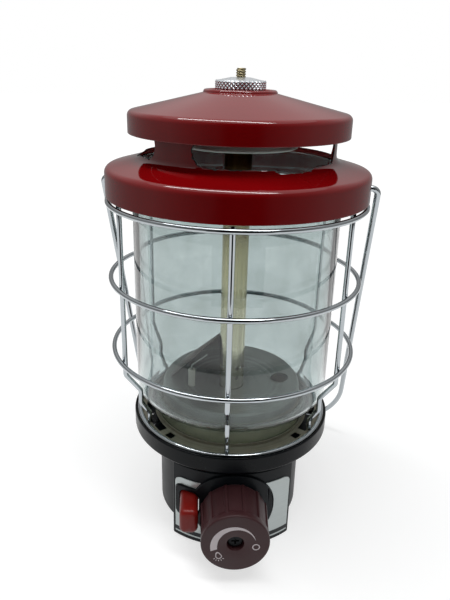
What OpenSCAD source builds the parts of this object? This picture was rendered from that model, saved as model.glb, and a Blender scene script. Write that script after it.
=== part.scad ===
// Propane lantern: moulded body with regulator, glass globe in a wire guard, enamelled ventilator, wire bail.
// Millimetres, +Z up, front along -Y. The origin is the centre of the body's lower rim.

/* [Body] */
// Outer radius of the round body
body_r = 51; // [50:0.5:54]
// Height of the body up to the collar
body_h = 63.5; // [62:0.5:72]
// Wall of the body and its front boss
body_wall = 2.4; // [1.8:0.1:3]
// Thickness of the deck that closes the body's top
deck_t = 3; // [2:0.1:4]
// Radius of the boss's curved front face, about the lantern's axis
panel_r = 62.9; // [61:0.1:65]
// Half width of the boss
panel_half_w = 40; // [39:0.5:44]
// Drop from the body's top to the boss's top
panel_drop = 3.5; // [2.5:0.5:5.5]

/* [Label and bezel] */
// Thickness of the silver label
label_t = 0.6; // [0.3:0.1:1]
// Half width of the label
label_half_w = 38.5; // [36:0.5:38.5]
// Lower edge of the label
label_low = 4; // [2:0.5:5]
// Drop from the boss's top to the label's upper edge
label_drop = 9.5; // [3:0.5:12]
// Radius of the label's two upper corners
label_corner = 5; // [1:0.5:8]
// Width of the label's strip under the bezel
bezel_strip = 1.5; // [1:0.5:4]
// How far the bezel stands out from the boss
bezel_t = 2; // [1.2:0.1:2.4]
// Width of the bezel round the button
bezel_margin = 3.2; // [2:0.1:4]

/* [Knob] */
// Height of the knob's axis as a share of the boss's height
knob_share = 0.55; // [0.53:0.005:0.585]
// Radius of the knob's front
knob_r = 21.4; // [18:0.2:23]
// How much larger the knob's radius is at its rear
knob_draft = 1; // [0.2:0.1:1.6]
// Length of the knob
knob_len = 28.8; // [24:0.2:34]
// Length of the knob's plain front flange
knob_flange = 4.6; // [3:0.1:7]
// Number of ribs round the knob
knob_ribs = 12; // [8:1:18]
// Width of one rib
knob_rib_w = 2; // [1:0.1:3]
// Depth of the panels between the ribs
knob_recess = 0.9; // [0.4:0.1:1.5]
// Radius of the counterbore in the knob's face
knob_bore_r = 5.4; // [5:0.1:6.5]
// Depth of that counterbore
knob_bore_depth = 5; // [4:0.1:7]
// Radius of the valve stem
stem_r = 3; // [2.4:0.1:3.4]

/* [Igniter] */
// Gap between the knob's rear edge and the button
button_gap = 0.6; // [0.4:0.1:1.2]
// Width of the button
button_w = 12; // [10:0.2:12]
// Height of the button
button_h = 18; // [13:0.2:18.6]
// Corner radius of the button
button_corner = 4; // [2:0.1:4.8]
// How far the button's face stands out from the boss
button_out = 14.1; // [11:0.1:21]
// Travel of the button
button_stroke = 6; // [3:0.5:6.5]
// Radius of the piezo unit
piezo_r = 6.5; // [5:0.1:7]
// Radius of the plunger that the button pushes
plunger_r = 2.5; // [1.5:0.1:3]
// Radius of the insulated lead
lead_r = 1.1; // [0.8:0.1:1.3]
// Radius of the ceramic insulator
insulator_r = 2.5; // [2:0.1:3]
// Height of the insulator's tip above the heat shield's rim
insulator_rise = 9.5; // [6:0.5:14]
// Radius of the electrode wire
electrode_r = 0.6; // [0.4:0.1:0.8]
// Sideways place of the electrode
electrode_x = -28.5; // [-29.5:0.5:-27]
// Fore and aft place of the electrode
electrode_y = -7; // [-8:0.5:-6]

/* [Regulator] */
// Radius of the regulator
regulator_r = 19; // [17.5:0.5:20]
// Height of the inlet's mouth above the body's rim
inlet_z = 9; // [8:0.5:10]
// Radius of the inlet thread for a standard fuel cylinder
inlet_r = 12.05; // [11.5:0.05:12.5]
// Depth of the inlet thread
inlet_depth = 11; // [9:0.5:12]
// Radius of the bonnet on the regulator's back
bonnet_r = 17; // [15:0.5:17]
// Length of the bonnet
bonnet_len = 14; // [12:0.5:15]

/* [Collar and pan] */
// Height of the collar
collar_h = 13.5; // [12.5:0.1:15]
// Thickness of the collar's rim
collar_wall = 1.4; // [1.2:0.1:2.2]
// Thickness of the collar's floor
collar_floor = 3; // [2:0.1:3.5]
// Inner radius of the collar's floor
collar_hole_r = 32; // [31.5:0.5:33]
// Height of the pan's top above the collar's floor
pan_rise = 8.4; // [7.5:0.1:8.8]
// Thickness of the pan's sheet
pan_t = 0.9; // [0.6:0.1:1.2]
// Width of the long air slot on each side of the pan in degrees
slot_angle = 72; // [50:1:78]
// Radius of one air hole in the collar's floor
vent_hole_r = 2.6; // [2:0.1:3]

/* [Globe] */
// Outer radius of the globe
globe_r = 66.4; // [64:0.2:70]
// Wall of the globe
globe_t = 2.2; // [1.6:0.1:2.6]
// Height of the globe
globe_h = 174.4; // [160:0.2:190]
// Outer radius of the globe's foot
globe_neck_r = 52.5; // [52:0.1:53]
// Height of the bowl above the globe's foot
globe_bowl_h = 15; // [12:0.5:20]
// Radius of the globe's lower corner
globe_corner_r = 10; // [8:0.5:12]
// Radius of the fillet between the foot and the bowl
globe_fillet_r = 3; // [2:0.5:3.5]

/* [Burner] */
// Radius of the centre tube
tube_r = 8.8; // [7:0.1:9.2]
// Wall of the centre tube
tube_t = 0.8; // [0.5:0.1:1.2]
// Radius of the heat shield
shield_r = 49; // [46:0.2:49.4]
// Height of the heat shield's rim above the pan
shield_h = 21.6; // [18:0.2:26]
// Thickness of the heat shield's sheet
shield_t = 0.7; // [0.5:0.1:1]
// Drop of the shield's top from its rim to its centre
shield_dish = 6.5; // [3:0.5:8]
// Radius of the lighting hole in the shield
light_hole_r = 6.5; // [5:0.5:7]
// Distance of the lighting hole from the axis
light_hole_x = 35; // [33:0.5:37]
// Radius of the deflector's foot
deflector_r = 44; // [36:0.5:45]
// Radius of the deflector's top
deflector_top_r = 11.5; // [10.5:0.5:14]
// Height of the deflector
deflector_h = 30; // [24:0.5:36]
// Thickness of the deflector's sheet
deflector_t = 0.8; // [0.5:0.1:1.2]
// Angle that the deflector goes round the tube
deflector_angle = 105; // [80:5:110]
// Where the deflector starts, in degrees from the right, towards the back
deflector_turn = 75; // [60:1:75]

/* [Guard] */
// Radius of the guard's wire
wire_r = 1.6; // [1.2:0.1:2]
// How far the middle of a guard ring's wire lies inside the skirt
guard_inset = 1; // [0.6:0.1:3.1]
// Radius of the foot ring, to the middle of the wire
foot_r = 65.7; // [65:0.1:66.5]
// Height of the lower ring above the pan
ring_low = 51.6; // [46:0.2:56]
// Gap between the ventilator's skirt and the top ring's middle
ring_drop = 3.4; // [2.4:0.1:5]
// Turn of the guard about the lantern's axis
guard_turn = -4.75; // [-20:0.25:20]
// Height below the lower ring where an upright bends inwards
upright_bend = 10; // [6:0.5:12]
// Height over which an upright slopes inwards, to pass close to the globe
upright_slope = 14; // [12:0.2:16]
// Height above the pan where it bends in again under the globe's corner
upright_hip = 18.6; // [17:0.2:20]
// Height above the pan where it turns down beside the foot ring
upright_ankle = 9; // [7:0.2:10]

/* [Ventilator] */
// Outer radius of the ventilator's skirt
skirt_r = 82.5; // [82:0.1:86]
// Height of the skirt's straight part
skirt_h = 13.9; // [12.5:0.1:18]
// Radius of the skirt's upper corner
skirt_corner = 4; // [2:0.2:5]
// Slope of the shoulder in degrees
shoulder_slope = 15; // [10:0.5:20]
// Outer radius of the neck
neck_r = 60; // [56:0.2:61]
// Radius of the fillet at the neck's foot
neck_fillet = 3; // [1.5:0.1:4]
// Thickness of the enamelled sheet
sheet_t = 0.9; // [0.6:0.1:1.2]
// Width of one of the three pillars in degrees
pillar_angle = 27; // [20:1:36]
// Turn of the first pillar from the front in degrees, left is negative
pillar_turn = -41.5; // [-60:0.5:-20]
// Depth of the notch in each window's sill
notch_depth = 3.4; // [1:0.1:3.5]
// Width of that notch in degrees
notch_angle = 26; // [10:1:40]

/* [Cap] */
// Outer radius of the cap
cap_r = 67.7; // [65:0.1:70]
// Height of the cap's rim above the skirt's lower edge
cap_lift = 36.8; // [34:0.2:42]
// Height of the cap's straight rim
cap_rim_h = 10; // [6:0.2:14]
// Radius of the cap's upper corner
cap_corner = 3.5; // [2:0.1:5]
// Slope of the cap's cone in degrees
cap_slope = 13.5; // [11:0.5:17]
// Radius of the raised bead round the cap's flat
bead_r = 20.8; // [19:0.2:24]
// Rim radius of the pale baffle under the cap
baffle_r = 36.5; // [30:0.5:40]
// Height of the baffle
baffle_h = 30; // [24:0.5:32]

/* [Nut and stud] */
// Radius of the thumb nut
nut_r = 15.3; // [12:0.1:17]
// Height of the nut's knurled rim
nut_h = 5.3; // [3.5:0.1:6]
// Radius of the stud
stud_r = 3; // [2.5:0.1:3.4]
// Length of stud that shows above the nut
stud_above = 6.9; // [5:0.1:10]

/* [Bail] */
// Radius of the bail's wire
bail_r = 2; // [1.6:0.1:2.4]
// Distance from the pivot to the middle of the bow
bail_len = 253; // [208:0.5:265]
// Radius of the bow's two corners
bail_corner = 50; // [20:1:60]
// Gap between the skirt and a leg of the bail
bail_gap = 3; // [1:0.1:4]
// Turn of the bail's two pivots about the lantern's axis in degrees
bail_turn = -9; // [-20:0.5:20]
// Height of the pivot above the skirt's lower edge
pivot_rise = 7.1; // [5.5:0.1:8]

/* [Clearances] */
// Gap between pieces that are fixed to each other
fixed_gap = 0.05; // [0.03:0.01:0.08]
// Radial gap of a turning or sliding fit
run_gap = 0.06; // [0.03:0.01:0.09]
// Gap between pieces that move past each other
free_gap = 0.4; // [0.3:0.05:0.6]

/* [Hidden] */
$fn = 64;

// Heights of the stack, from the body upwards
deck_low = body_h - deck_t;
panel_h = body_h - panel_drop;
floor_top = body_h + collar_floor;
pan_top = floor_top + pan_rise;
pan_low = pan_top - pan_t;
globe_low = pan_top + fixed_gap;
globe_top = globe_low + globe_h;
shield_low = pan_top + fixed_gap;
shield_top = shield_low + shield_h;

// Ventilator: where its shoulder starts, and the height that seats it on the globe
skirt_in = skirt_r - skirt_corner;
shoulder_r = skirt_in + skirt_corner * sin(shoulder_slope);
shoulder_z = skirt_h + skirt_corner * cos(shoulder_slope);
seat_z = shoulder_z - sheet_t + (shoulder_r - sheet_t - globe_r) * tan(shoulder_slope);
vent_z = globe_top + 2 * fixed_gap - seat_z;
fillet_r = neck_r + neck_fillet;
fillet_foot = fillet_r - neck_fillet * sin(shoulder_slope);
fillet_z = shoulder_z + (shoulder_r - fillet_foot) * tan(shoulder_slope) + neck_fillet * cos(shoulder_slope);
sill_z = vent_z + fillet_z - 1.2;

// Cap: the start of its cone, its flat and the neck that carries it
cap_z = vent_z + cap_lift;
cone_r = cap_r - cap_corner + cap_corner * sin(cap_slope);
cone_z = cap_z + cap_rim_h + cap_corner * cos(cap_slope);
bead_wire = 1.6;
flat_r = bead_r + bead_wire;
flat_z = cone_z + (cone_r - flat_r) * tan(cap_slope);
neck_top = cone_z + (cone_r - sheet_t - neck_r) * tan(cap_slope) - sheet_t - 2 * fixed_gap;
window_top = cap_z + 3;
bead_top = flat_z + bead_wire * 0.9;

// Nut and stud
nut_boss_z = flat_z + fixed_gap;
nut_z = bead_top + free_gap / 2;
nut_boss_r = 9.5;
stud_top = nut_z + nut_h + stud_above;
tube_rise = 14.5;
tube_low = body_h + tube_rise;
tube_top = cap_z;
bushing_depth = 12;
bushing_flange = 2;
baffle_top = flat_z - sheet_t - fixed_gap;
baffle_t = 0.8;
baffle_hub_r = 11;

// Guard
guard_r = skirt_r - guard_inset;
leg_r = foot_r - 2 * wire_r - fixed_gap;
pass_r = globe_r + wire_r + free_gap;
collar_in = foot_r + wire_r + free_gap;
collar_r = collar_in + collar_wall;
slot_out = leg_r - wire_r;
upright_r = guard_r - 2 * wire_r - fixed_gap;
foot_z = pan_top + wire_r + fixed_gap;
ring_low_z = pan_top + ring_low;
ring_top_z = vent_z - ring_drop;
ring_mid_z = (ring_low_z + ring_top_z) / 2;
upright_count = 6;
upright_bend_r = 4;
bend_swell = 0.05;
bend_overlap = 0.3;

// Bail, let down behind the body until its bow is just above the table or meets the body
pivot_z = vent_z + pivot_rise;
bail_x = skirt_r + bail_gap + bail_r;
bail_bend = bail_r + bail_gap - free_gap;
bail_low = bail_r + 1;
bail_rest = max(
    asin((body_r + bail_r + free_gap) / bail_len),
    acos(min(1, (pivot_z - bail_low) / bail_len))
);
pin_end_x = skirt_r - sheet_t - 2.6;
pin_head = 1.9;

// Controls
knob_z = panel_h * knob_share;
label_high = panel_h - label_drop;
bezel_r = knob_z - label_low - bezel_strip;
label_r = panel_r + fixed_gap;
bezel_face = panel_r + fixed_gap + bezel_t;
knob_rear = bezel_face + free_gap;
knob_front = knob_rear + knob_len;
button_offset = knob_r + knob_draft + button_gap + button_w / 2;
stem_front = knob_front - knob_bore_depth - 2;
stem_hole_r = stem_r + 1;
gland_front = 33;
gland_rear = 26;
stem_rear = 6;
button_reach = panel_r + button_out;
button_slot_w = button_w + 2 * free_gap;
button_slot_h = button_h + 2 * free_gap;
button_rear = sqrt(pow(panel_r - body_wall, 2) - pow(button_offset + button_w / 2 + 1, 2)) - 3;
button_flange = 2;
piezo_front = button_rear - button_flange - button_stroke - free_gap;
piezo_rear = 4;
plunger_rear = piezo_front - 19;
saddle_rear = 27;
saddle_t = 3;
saddle_low = knob_z - piezo_r - 2.5;
saddle_half_w = piezo_r + 2;

// Fasteners
screw_r = 2;
screw_head_r = 3.6;
screw_head_h = 2.2;
screw_hole_r = screw_r + run_gap;
regulator_screw_circle = 19;
collar_screw_circle = 40;
pan_screw_circle = 38;
pan_post_r = 5;
screw_count = 3;
knob_screw_r = 1.5;
knob_screw_head_r = 4.2;
knob_screw_head_h = 2.4;
knob_screw_len = 11;
cross_w = 1;

// Regulator
flange_t = 4;
flange_r = 24;
regulator_neck_r = 15;
regulator_top = deck_low - 14.5;
seat_bore_r = 7;
seat_bore_top = inlet_z + inlet_depth + 6;
passage_r = 2;
jet_r = 3.5;
jet_low = deck_low - 4.5;
jet_hex = 10;
jet_top = body_h + 4.5;
jet_hole_r = 8;
boss_r = 9;
chamber_r = bonnet_r - 4;
bonnet_z = knob_z - 2;
bonnet_face = regulator_r + 1;
diaphragm_t = 1;
bonnet_front = bonnet_face + diaphragm_t + 2 * fixed_gap;
spring_r = 6;
spring_wire = 0.8;
spring_turns = 5;
spring_len = bonnet_len - 2 - 2 * spring_wire - 0.4;
mixer_wall = 1.5;
mixer_r = tube_r + mixer_wall;
mixer_top = tube_low + 6;
mixer_bore = 6.5;
mixer_flange_r = 11.5;

// Points of an arc in a turned outline
function arc(cr, cz, r, from, to, steps = 6) =
    [for (i = [0:steps]) let (a = from + (to - from) * i / steps) [cr + r * cos(a), cz + r * sin(a)]];

// The list in the other direction
function reversed(points) = [for (i = [len(points) - 1:-1:0]) points[i]];

// Height of the heat shield's dished top at a distance from the axis
function dish_z(r) = shield_top - shield_dish * (1 - r / shield_r);

// A round rod from one point to another
module rod(p, q, r) {
    v = q - p;
    translate(p) rotate([0, acos(v.z / norm(v)), atan2(v.y, v.x)]) cylinder(h = norm(v), r = r);
}

// A cylinder along -Y, from one distance in front of the axis to a larger one
module forward(r, near, far) {
    translate([0, -near, 0]) rotate([90, 0, 0]) cylinder(h = far - near, r = r);
}

// A cone along -Y, from one distance and radius to a larger distance and its radius
module forward_cone(r_near, r_far, near, far) {
    translate([0, -near, 0]) rotate([90, 0, 0]) cylinder(h = far - near, r1 = r_near, r2 = r_far);
}

// A copy at each of several places round the axis
module around(count, radius, turn = 0) {
    for (i = [0:count - 1]) {
        rotate([0, 0, turn + 360 * i / count]) translate([radius, 0, 0]) children();
    }
}

// A screw that points down, with its head's underside at the origin
module screw(length) {
    cylinder(h = screw_head_h, r = screw_head_r);
    translate([0, 0, -length]) cylinder(h = length + 0.1, r = screw_r);
}

// A rectangle with round corners
module round_rect(w, h, r) {
    square([w - 2 * r, h], center = true);
    square([w, h - 2 * r], center = true);
    for (sx = [-1, 1], sy = [-1, 1]) {
        translate([sx * (w / 2 - r), sy * (h / 2 - r)]) circle(r);
    }
}

// A flat outline in X and Z, pushed forward from one distance in front of the axis to a larger one
module push_forward(near, far) {
    translate([0, -near, 0]) rotate([90, 0, 0]) linear_extrude(far - near) children();
}

// Outline of the front boss, seen from above, drawn in by a wall
module boss_outline(inset) {
    half_w = panel_half_w - inset;
    intersection() {
        circle(panel_r - inset);
        translate([-half_w, -2 * panel_r]) square([2 * half_w, 2 * panel_r]);
    }
}

// Outline of the bezel, seen from the front, grown by a margin
module bezel_outline(grow) {
    translate([0, knob_z]) circle(bezel_r + grow);
    translate([-button_offset, knob_z]) {
        round_rect(button_w + 2 * (bezel_margin + grow), button_h + 2 * (bezel_margin + grow), button_corner + grow);
    }
}

// Slot of the button, seen from the front
module button_slot() {
    translate([-button_offset, knob_z]) round_rect(button_slot_w, button_slot_h, button_corner);
}

// Moulded black body: round wall, deck, front boss, and the saddle that holds the piezo unit
module body_shell() {
    color("#1b2024") difference() {
        union() {
            difference() {
                union() {
                    linear_extrude(panel_h) boss_outline(0);
                    cylinder(h = body_h, r = body_r);
                }
                translate([0, 0, -1]) linear_extrude(panel_h - body_wall + 1) boss_outline(body_wall);
                translate([0, 0, -1]) cylinder(h = deck_low + 1, r = body_r - body_wall);
            }
            translate([-button_offset - saddle_half_w, -saddle_rear - saddle_t, saddle_low]) {
                cube([2 * saddle_half_w, saddle_t, deck_low - saddle_low + 0.1]);
            }
        }
        translate([0, 0, knob_z]) forward(stem_hole_r, regulator_r, 2 * panel_r);
        push_forward(body_r - body_wall - 12, 2 * panel_r) button_slot();
        translate([-button_offset, 0, knob_z]) forward(piezo_r + fixed_gap, 0, saddle_rear + saddle_t + 1);
        cylinder(h = body_h + 1, r = jet_hole_r);
        around(screw_count, regulator_screw_circle, 30) cylinder(h = body_h + 1, r = screw_hole_r);
        around(screw_count, collar_screw_circle, 30) cylinder(h = body_h + 1, r = screw_hole_r);
        translate([electrode_x, electrode_y, deck_low - 1]) cylinder(h = deck_t + 2, r = lead_r + 0.5);
    }
}

// Outline of the label, seen from the front, with its upper corners rounded
module label_outline() {
    inner = label_half_w - label_corner;
    translate([-label_half_w, label_low]) square([2 * label_half_w, label_high - label_low - label_corner]);
    translate([-inner, label_low]) square([2 * inner, label_high - label_low]);
    for (side = [-1, 1]) translate([side * inner, label_high - label_corner]) circle(label_corner);
}

// Thin silver plate on the boss, cut out round the bezel
module panel_label() {
    color("#b4bdbd") difference() {
        intersection() {
            difference() {
                cylinder(h = body_h, r = label_r + label_t);
                translate([0, 0, -1]) cylinder(h = body_h + 2, r = label_r);
            }
            push_forward(0, 2 * panel_r) label_outline();
        }
        push_forward(0, 2 * panel_r) bezel_outline(2 * fixed_gap);
    }
}

// Black surround of the knob and the button, bent to the boss
module control_bezel() {
    color("#14181b") difference() {
        intersection() {
            difference() {
                cylinder(h = body_h, r = bezel_face);
                translate([0, 0, -1]) cylinder(h = body_h + 2, r = label_r);
            }
            push_forward(0, 2 * panel_r) bezel_outline(0);
            translate([-label_half_w, -2 * panel_r, 0]) cube([2 * label_half_w, 2 * panel_r, body_h]);
        }
        push_forward(0, 2 * panel_r) button_slot();
        translate([0, 0, knob_z]) forward(stem_hole_r, 0, 2 * panel_r);
    }
}

// Black ring on the deck: floor, ledge for the pan, and rim, with slots under the pan's vent holes
module collar() {
    chamfer = 2.4;
    rim = 0.6;
    ledge_r = slot_out + 1.5;
    top = body_h + collar_h;
    color("#20262b") difference() {
        union() {
            rotate_extrude() polygon([
                [collar_hole_r, body_h], [collar_r - chamfer, body_h], [collar_r, body_h + chamfer],
                [collar_r, top - rim], [collar_r - rim, top], [collar_in, top],
                [collar_in, pan_low - fixed_gap], [ledge_r, pan_low - fixed_gap],
                [ledge_r, floor_top], [collar_hole_r, floor_top]
            ]);
            around(screw_count, pan_screw_circle, 90) {
                translate([0, 0, body_h]) cylinder(h = pan_low - fixed_gap - body_h, r = pan_post_r);
            }
        }
        air_holes();
        around(screw_count, collar_screw_circle, 30) {
            translate([0, 0, body_h - 1]) cylinder(h = collar_floor + 2, r = screw_hole_r);
        }
        around(screw_count, pan_screw_circle, 90) {
            translate([0, 0, body_h - 1]) cylinder(h = pan_top - body_h + 2, r = screw_hole_r);
        }
    }
}

// Air holes through the collar's floor, under the pan's slots
module air_holes() {
    first_hole = 62;
    hole_step = 14;
    holes_per_side = 5;
    hole_circle = slot_out - vent_hole_r;
    for (side = [-1, 1], i = [0:holes_per_side - 1]) {
        rotate([0, 0, -90 + side * (first_hole + hole_step * i)]) {
            translate([hole_circle, 0, body_h - 1]) cylinder(h = collar_floor + 2, r = vent_hole_r);
        }
    }
}

// Air slots through the pan: a long one on each side and a short one in front of it
module air_slots(slot_in) {
    short_angle = 6;
    short_turn = 46;
    for (side = [-1, 1]) {
        rotate([0, 0, 90 - side * 90 - slot_angle / 2]) slot(slot_in, slot_angle);
        rotate([0, 0, -90 + side * short_turn - short_angle / 2]) slot(slot_in + 1, short_angle);
    }
}

// One curved slot through the pan
module slot(slot_in, angle) {
    rotate_extrude(angle = angle) translate([slot_in, pan_low - 1]) square([slot_out - slot_in, pan_t + 2]);
}

// Screws that hold the collar on the deck
module collar_screws() {
    color("#9a9c98") around(screw_count, collar_screw_circle, 30) {
        translate([0, 0, floor_top]) screw(collar_floor + deck_t + 3.5);
    }
}

// Sheet-metal pan that carries the globe and the guard
module base_pan() {
    seat_r = globe_neck_r + free_gap;
    seat_h = 2;
    pan_r = collar_in - 3 * fixed_gap;
    color("#55564c") difference() {
        union() {
            translate([0, 0, pan_low]) cylinder(h = pan_t, r = pan_r);
            translate([0, 0, pan_low]) cylinder(h = pan_t + seat_h, r = seat_r + pan_t);
        }
        translate([0, 0, pan_top]) cylinder(h = seat_h + 1, r = seat_r);
        translate([0, 0, pan_low - 1]) cylinder(h = pan_t + 2, r = mixer_r + free_gap);
        air_slots(seat_r + pan_t + 1);
        around(screw_count, pan_screw_circle, 90) {
            translate([0, 0, pan_low - 1]) cylinder(h = pan_t + 2, r = screw_hole_r);
        }
        translate([electrode_x, electrode_y, pan_low - 1]) cylinder(h = pan_t + 2, r = lead_r + 0.5);
    }
}

// Screws that hold the pan on the collar's posts
module pan_screws() {
    color("#9a9c98") around(screw_count, pan_screw_circle, 90) translate([0, 0, pan_top]) screw(pan_rise - 1);
}

// Inverted sheet cup inside the globe, with a dished top
module heat_shield() {
    hole_r = tube_r + free_gap;
    lip = 1.5;
    color("#6f7472") difference() {
        rotate_extrude() polygon([
            [shield_r - shield_t, shield_low], [shield_r, shield_low], [shield_r, shield_top - lip],
            [shield_r - lip, shield_top], [shield_r - 2 * lip, dish_z(shield_r - 2 * lip)],
            [hole_r, dish_z(hole_r)], [hole_r, dish_z(hole_r) - shield_t],
            [shield_r - 2 * lip, dish_z(shield_r - 2 * lip) - shield_t],
            [shield_r - lip, shield_top - shield_t], [shield_r - shield_t, shield_top - lip - 0.3]
        ]);
        translate([light_hole_x, 1, shield_low + shield_h / 2]) cylinder(h = shield_h, r = light_hole_r);
        translate([electrode_x, electrode_y, shield_low + shield_h / 2]) {
            cylinder(h = shield_h, r = insulator_r + 0.2);
        }
    }
}

// Sector of a cone, of thin sheet, beside and behind the tube
module burner_deflector() {
    low = dish_z(deflector_r) + free_gap;
    color("#3a2a22") rotate([0, 0, deflector_turn]) rotate_extrude(angle = deflector_angle) polygon([
        [deflector_r - deflector_t, low], [deflector_r, low],
        [deflector_top_r, low + deflector_h], [deflector_top_r - deflector_t, low + deflector_h]
    ]);
}

// Tube that mixes gas and air, on the deck, with air ports and a step that carries the centre tube
module mixing_tube() {
    port_r = 2.5;
    port_rise = 7;
    port_z = body_h + port_rise;
    base_t = 1.5;
    color("#8d8a7c") difference() {
        rotate_extrude() polygon([
            [mixer_bore, body_h], [mixer_flange_r, body_h], [mixer_flange_r, body_h + base_t],
            [mixer_r, body_h + base_t], [mixer_r, mixer_top], [tube_r + fixed_gap, mixer_top],
            [tube_r + fixed_gap, tube_low - fixed_gap], [mixer_bore, tube_low - fixed_gap]
        ]);
        for (turn = [0, 90]) {
            translate([0, 0, port_z]) rotate([90, 0, turn]) cylinder(h = 4 * mixer_r, r = port_r, center = true);
        }
    }
}

// Brass jet on the regulator's outlet
module gas_jet() {
    orifice_r = 0.5;
    color("#b08d57") difference() {
        union() {
            translate([0, 0, jet_low]) cylinder(h = jet_top - jet_low, r = jet_r - 1);
            translate([0, 0, jet_low]) cylinder(h = deck_low - jet_low, r = jet_r);
            translate([0, 0, deck_low]) cylinder(h = 4, d = jet_hex / cos(30), $fn = 6);
        }
        translate([0, 0, jet_low - 1]) cylinder(h = jet_top, r = orifice_r);
    }
}

// Straight centre tube with burner ports near its foot
module burner_tube() {
    port_r = 1.4;
    port_count = 8;
    port_z = shield_top + 3;
    color("#9c9078") difference() {
        translate([0, 0, tube_low]) cylinder(h = tube_top - tube_low, r = tube_r);
        translate([0, 0, tube_low - 1]) cylinder(h = tube_top, r = tube_r - tube_t);
        for (row = [0, 1], i = [0:port_count / 2 - 1]) {
            translate([0, 0, port_z + 7 * row]) rotate([0, 90, 22.5 + 180 * i / (port_count / 2)]) {
                cylinder(h = 4 * tube_r, r = port_r, center = true);
            }
        }
    }
}

// Plug in the top of the centre tube that the stud screws into
module stud_bushing() {
    plug_r = tube_r - tube_t - fixed_gap;
    color("#7b6a4a") difference() {
        union() {
            translate([0, 0, tube_top - bushing_depth]) cylinder(h = bushing_depth + 0.5, r = plug_r);
            translate([0, 0, tube_top + fixed_gap]) cylinder(h = bushing_flange, r = tube_r);
        }
        translate([0, 0, tube_top - bushing_depth - 1]) {
            cylinder(h = bushing_depth + bushing_flange + 2, r = stud_r + fixed_gap);
        }
    }
}

// Stud on the axis that the ventilator and its nut hold on
module top_stud() {
    tip = 0.6;
    low = tube_top - bushing_depth;
    color("#a59f86") rotate_extrude() polygon([
        [0, low], [stud_r, low], [stud_r, stud_top - tip], [stud_r - tip, stud_top], [0, stud_top]
    ]);
}

// Ceramic stub with a collar under the heat shield
module electrode_insulator() {
    collar_grow = 1.7;
    inner = norm([electrode_x, electrode_y]) - insulator_r - collar_grow;
    collar_top = dish_z(inner) - shield_t - free_gap;
    low = pan_top + 3;
    color("#d8d5c8") translate([electrode_x, electrode_y, 0]) difference() {
        union() {
            translate([0, 0, low]) cylinder(h = shield_top + insulator_rise - low, r = insulator_r);
            translate([0, 0, low]) cylinder(h = collar_top - low, r = insulator_r + collar_grow);
        }
        translate([0, 0, low - 1]) cylinder(h = shield_h + insulator_rise, r = electrode_r + fixed_gap);
    }
}

// Bent wire out of the insulator, towards the tube
module electrode_wire() {
    bare_length = 3;
    tip_gap = 9;
    tip_rise = 6;
    bend_z = shield_top + insulator_rise + bare_length;
    low = [electrode_x, electrode_y, pan_top + 3 + fixed_gap];
    bend = [electrode_x, electrode_y, bend_z];
    tip = [-tube_r - tip_gap, electrode_y / 2, bend_z + tip_rise];
    color("#8c8c88") union() {
        rod(low, bend, electrode_r);
        translate(bend) sphere(electrode_r);
        rod(bend, tip, electrode_r);
    }
}

// Insulated lead from the piezo unit up to the electrode
module igniter_lead() {
    low = knob_z + piezo_r + 2 * fixed_gap;
    color("#c9c4b4") translate([electrode_x, electrode_y, low]) {
        cylinder(h = pan_top + 3 - fixed_gap - low, r = lead_r);
    }
}

// Sealed piezo unit, with the guide for its plunger
module piezo_igniter() {
    color("#2d3238") translate([-button_offset, 0, knob_z]) difference() {
        forward(piezo_r, piezo_rear, piezo_front);
        forward(plunger_r + run_gap, plunger_rear - button_stroke - free_gap, piezo_front + 1);
    }
}

// Cast regulator: inlet socket, valve boss in front, bonnet seat behind, and the flange under the deck
module regulator_body() {
    color("#8e9092") difference() {
        union() {
            translate([0, 0, inlet_z]) cylinder(h = regulator_top - inlet_z, r = regulator_r);
            translate([0, 0, inlet_z]) cylinder(h = deck_low - inlet_z, r = regulator_neck_r);
            translate([0, 0, deck_low - flange_t]) cylinder(h = flange_t, r = flange_r);
            translate([0, 0, knob_z]) forward(boss_r, 0, gland_rear);
            translate([0, 0, bonnet_z]) forward(bonnet_r, -bonnet_face, 0);
        }
        translate([0, 0, inlet_z - 1]) cylinder(h = inlet_depth + 1, r = inlet_r);
        translate([0, 0, inlet_z]) cylinder(h = seat_bore_top - inlet_z, r = seat_bore_r);
        translate([0, 0, inlet_z]) cylinder(h = deck_low, r = passage_r);
        translate([0, 0, jet_low - 1]) cylinder(h = deck_low, r = jet_r + fixed_gap);
        translate([0, 0, knob_z]) forward(stem_r + run_gap, stem_rear - 1, gland_rear + 1);
        translate([0, 0, bonnet_z]) forward(chamber_r, -bonnet_face - 1, -bonnet_face + 3);
        around(screw_count, regulator_screw_circle, 30) {
            translate([0, 0, deck_low - flange_t - 1]) cylinder(h = flange_t + 2, r = screw_hole_r);
        }
    }
}

// Screws that hold the regulator under the deck
module regulator_screws() {
    color("#9a9c98") around(screw_count, regulator_screw_circle, 30) {
        translate([0, 0, body_h]) screw(deck_t + flange_t - 0.5);
    }
}

// Rubber diaphragm clamped between the regulator and its bonnet
module regulator_diaphragm() {
    color("#2a2a2a") translate([0, 0, bonnet_z]) {
        forward(bonnet_r - 0.5, -bonnet_face - fixed_gap - diaphragm_t, -bonnet_face - fixed_gap);
    }
}

// Cup that holds the regulator's spring
module regulator_bonnet() {
    color("#97999a") translate([0, 0, bonnet_z]) difference() {
        forward(bonnet_r, -bonnet_front - bonnet_len, -bonnet_front);
        forward(chamber_r - 1, -bonnet_front - bonnet_len + 2, -bonnet_front + 1);
        forward(0.8, -bonnet_front - bonnet_len - 1, -bonnet_front);
    }
}

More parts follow.
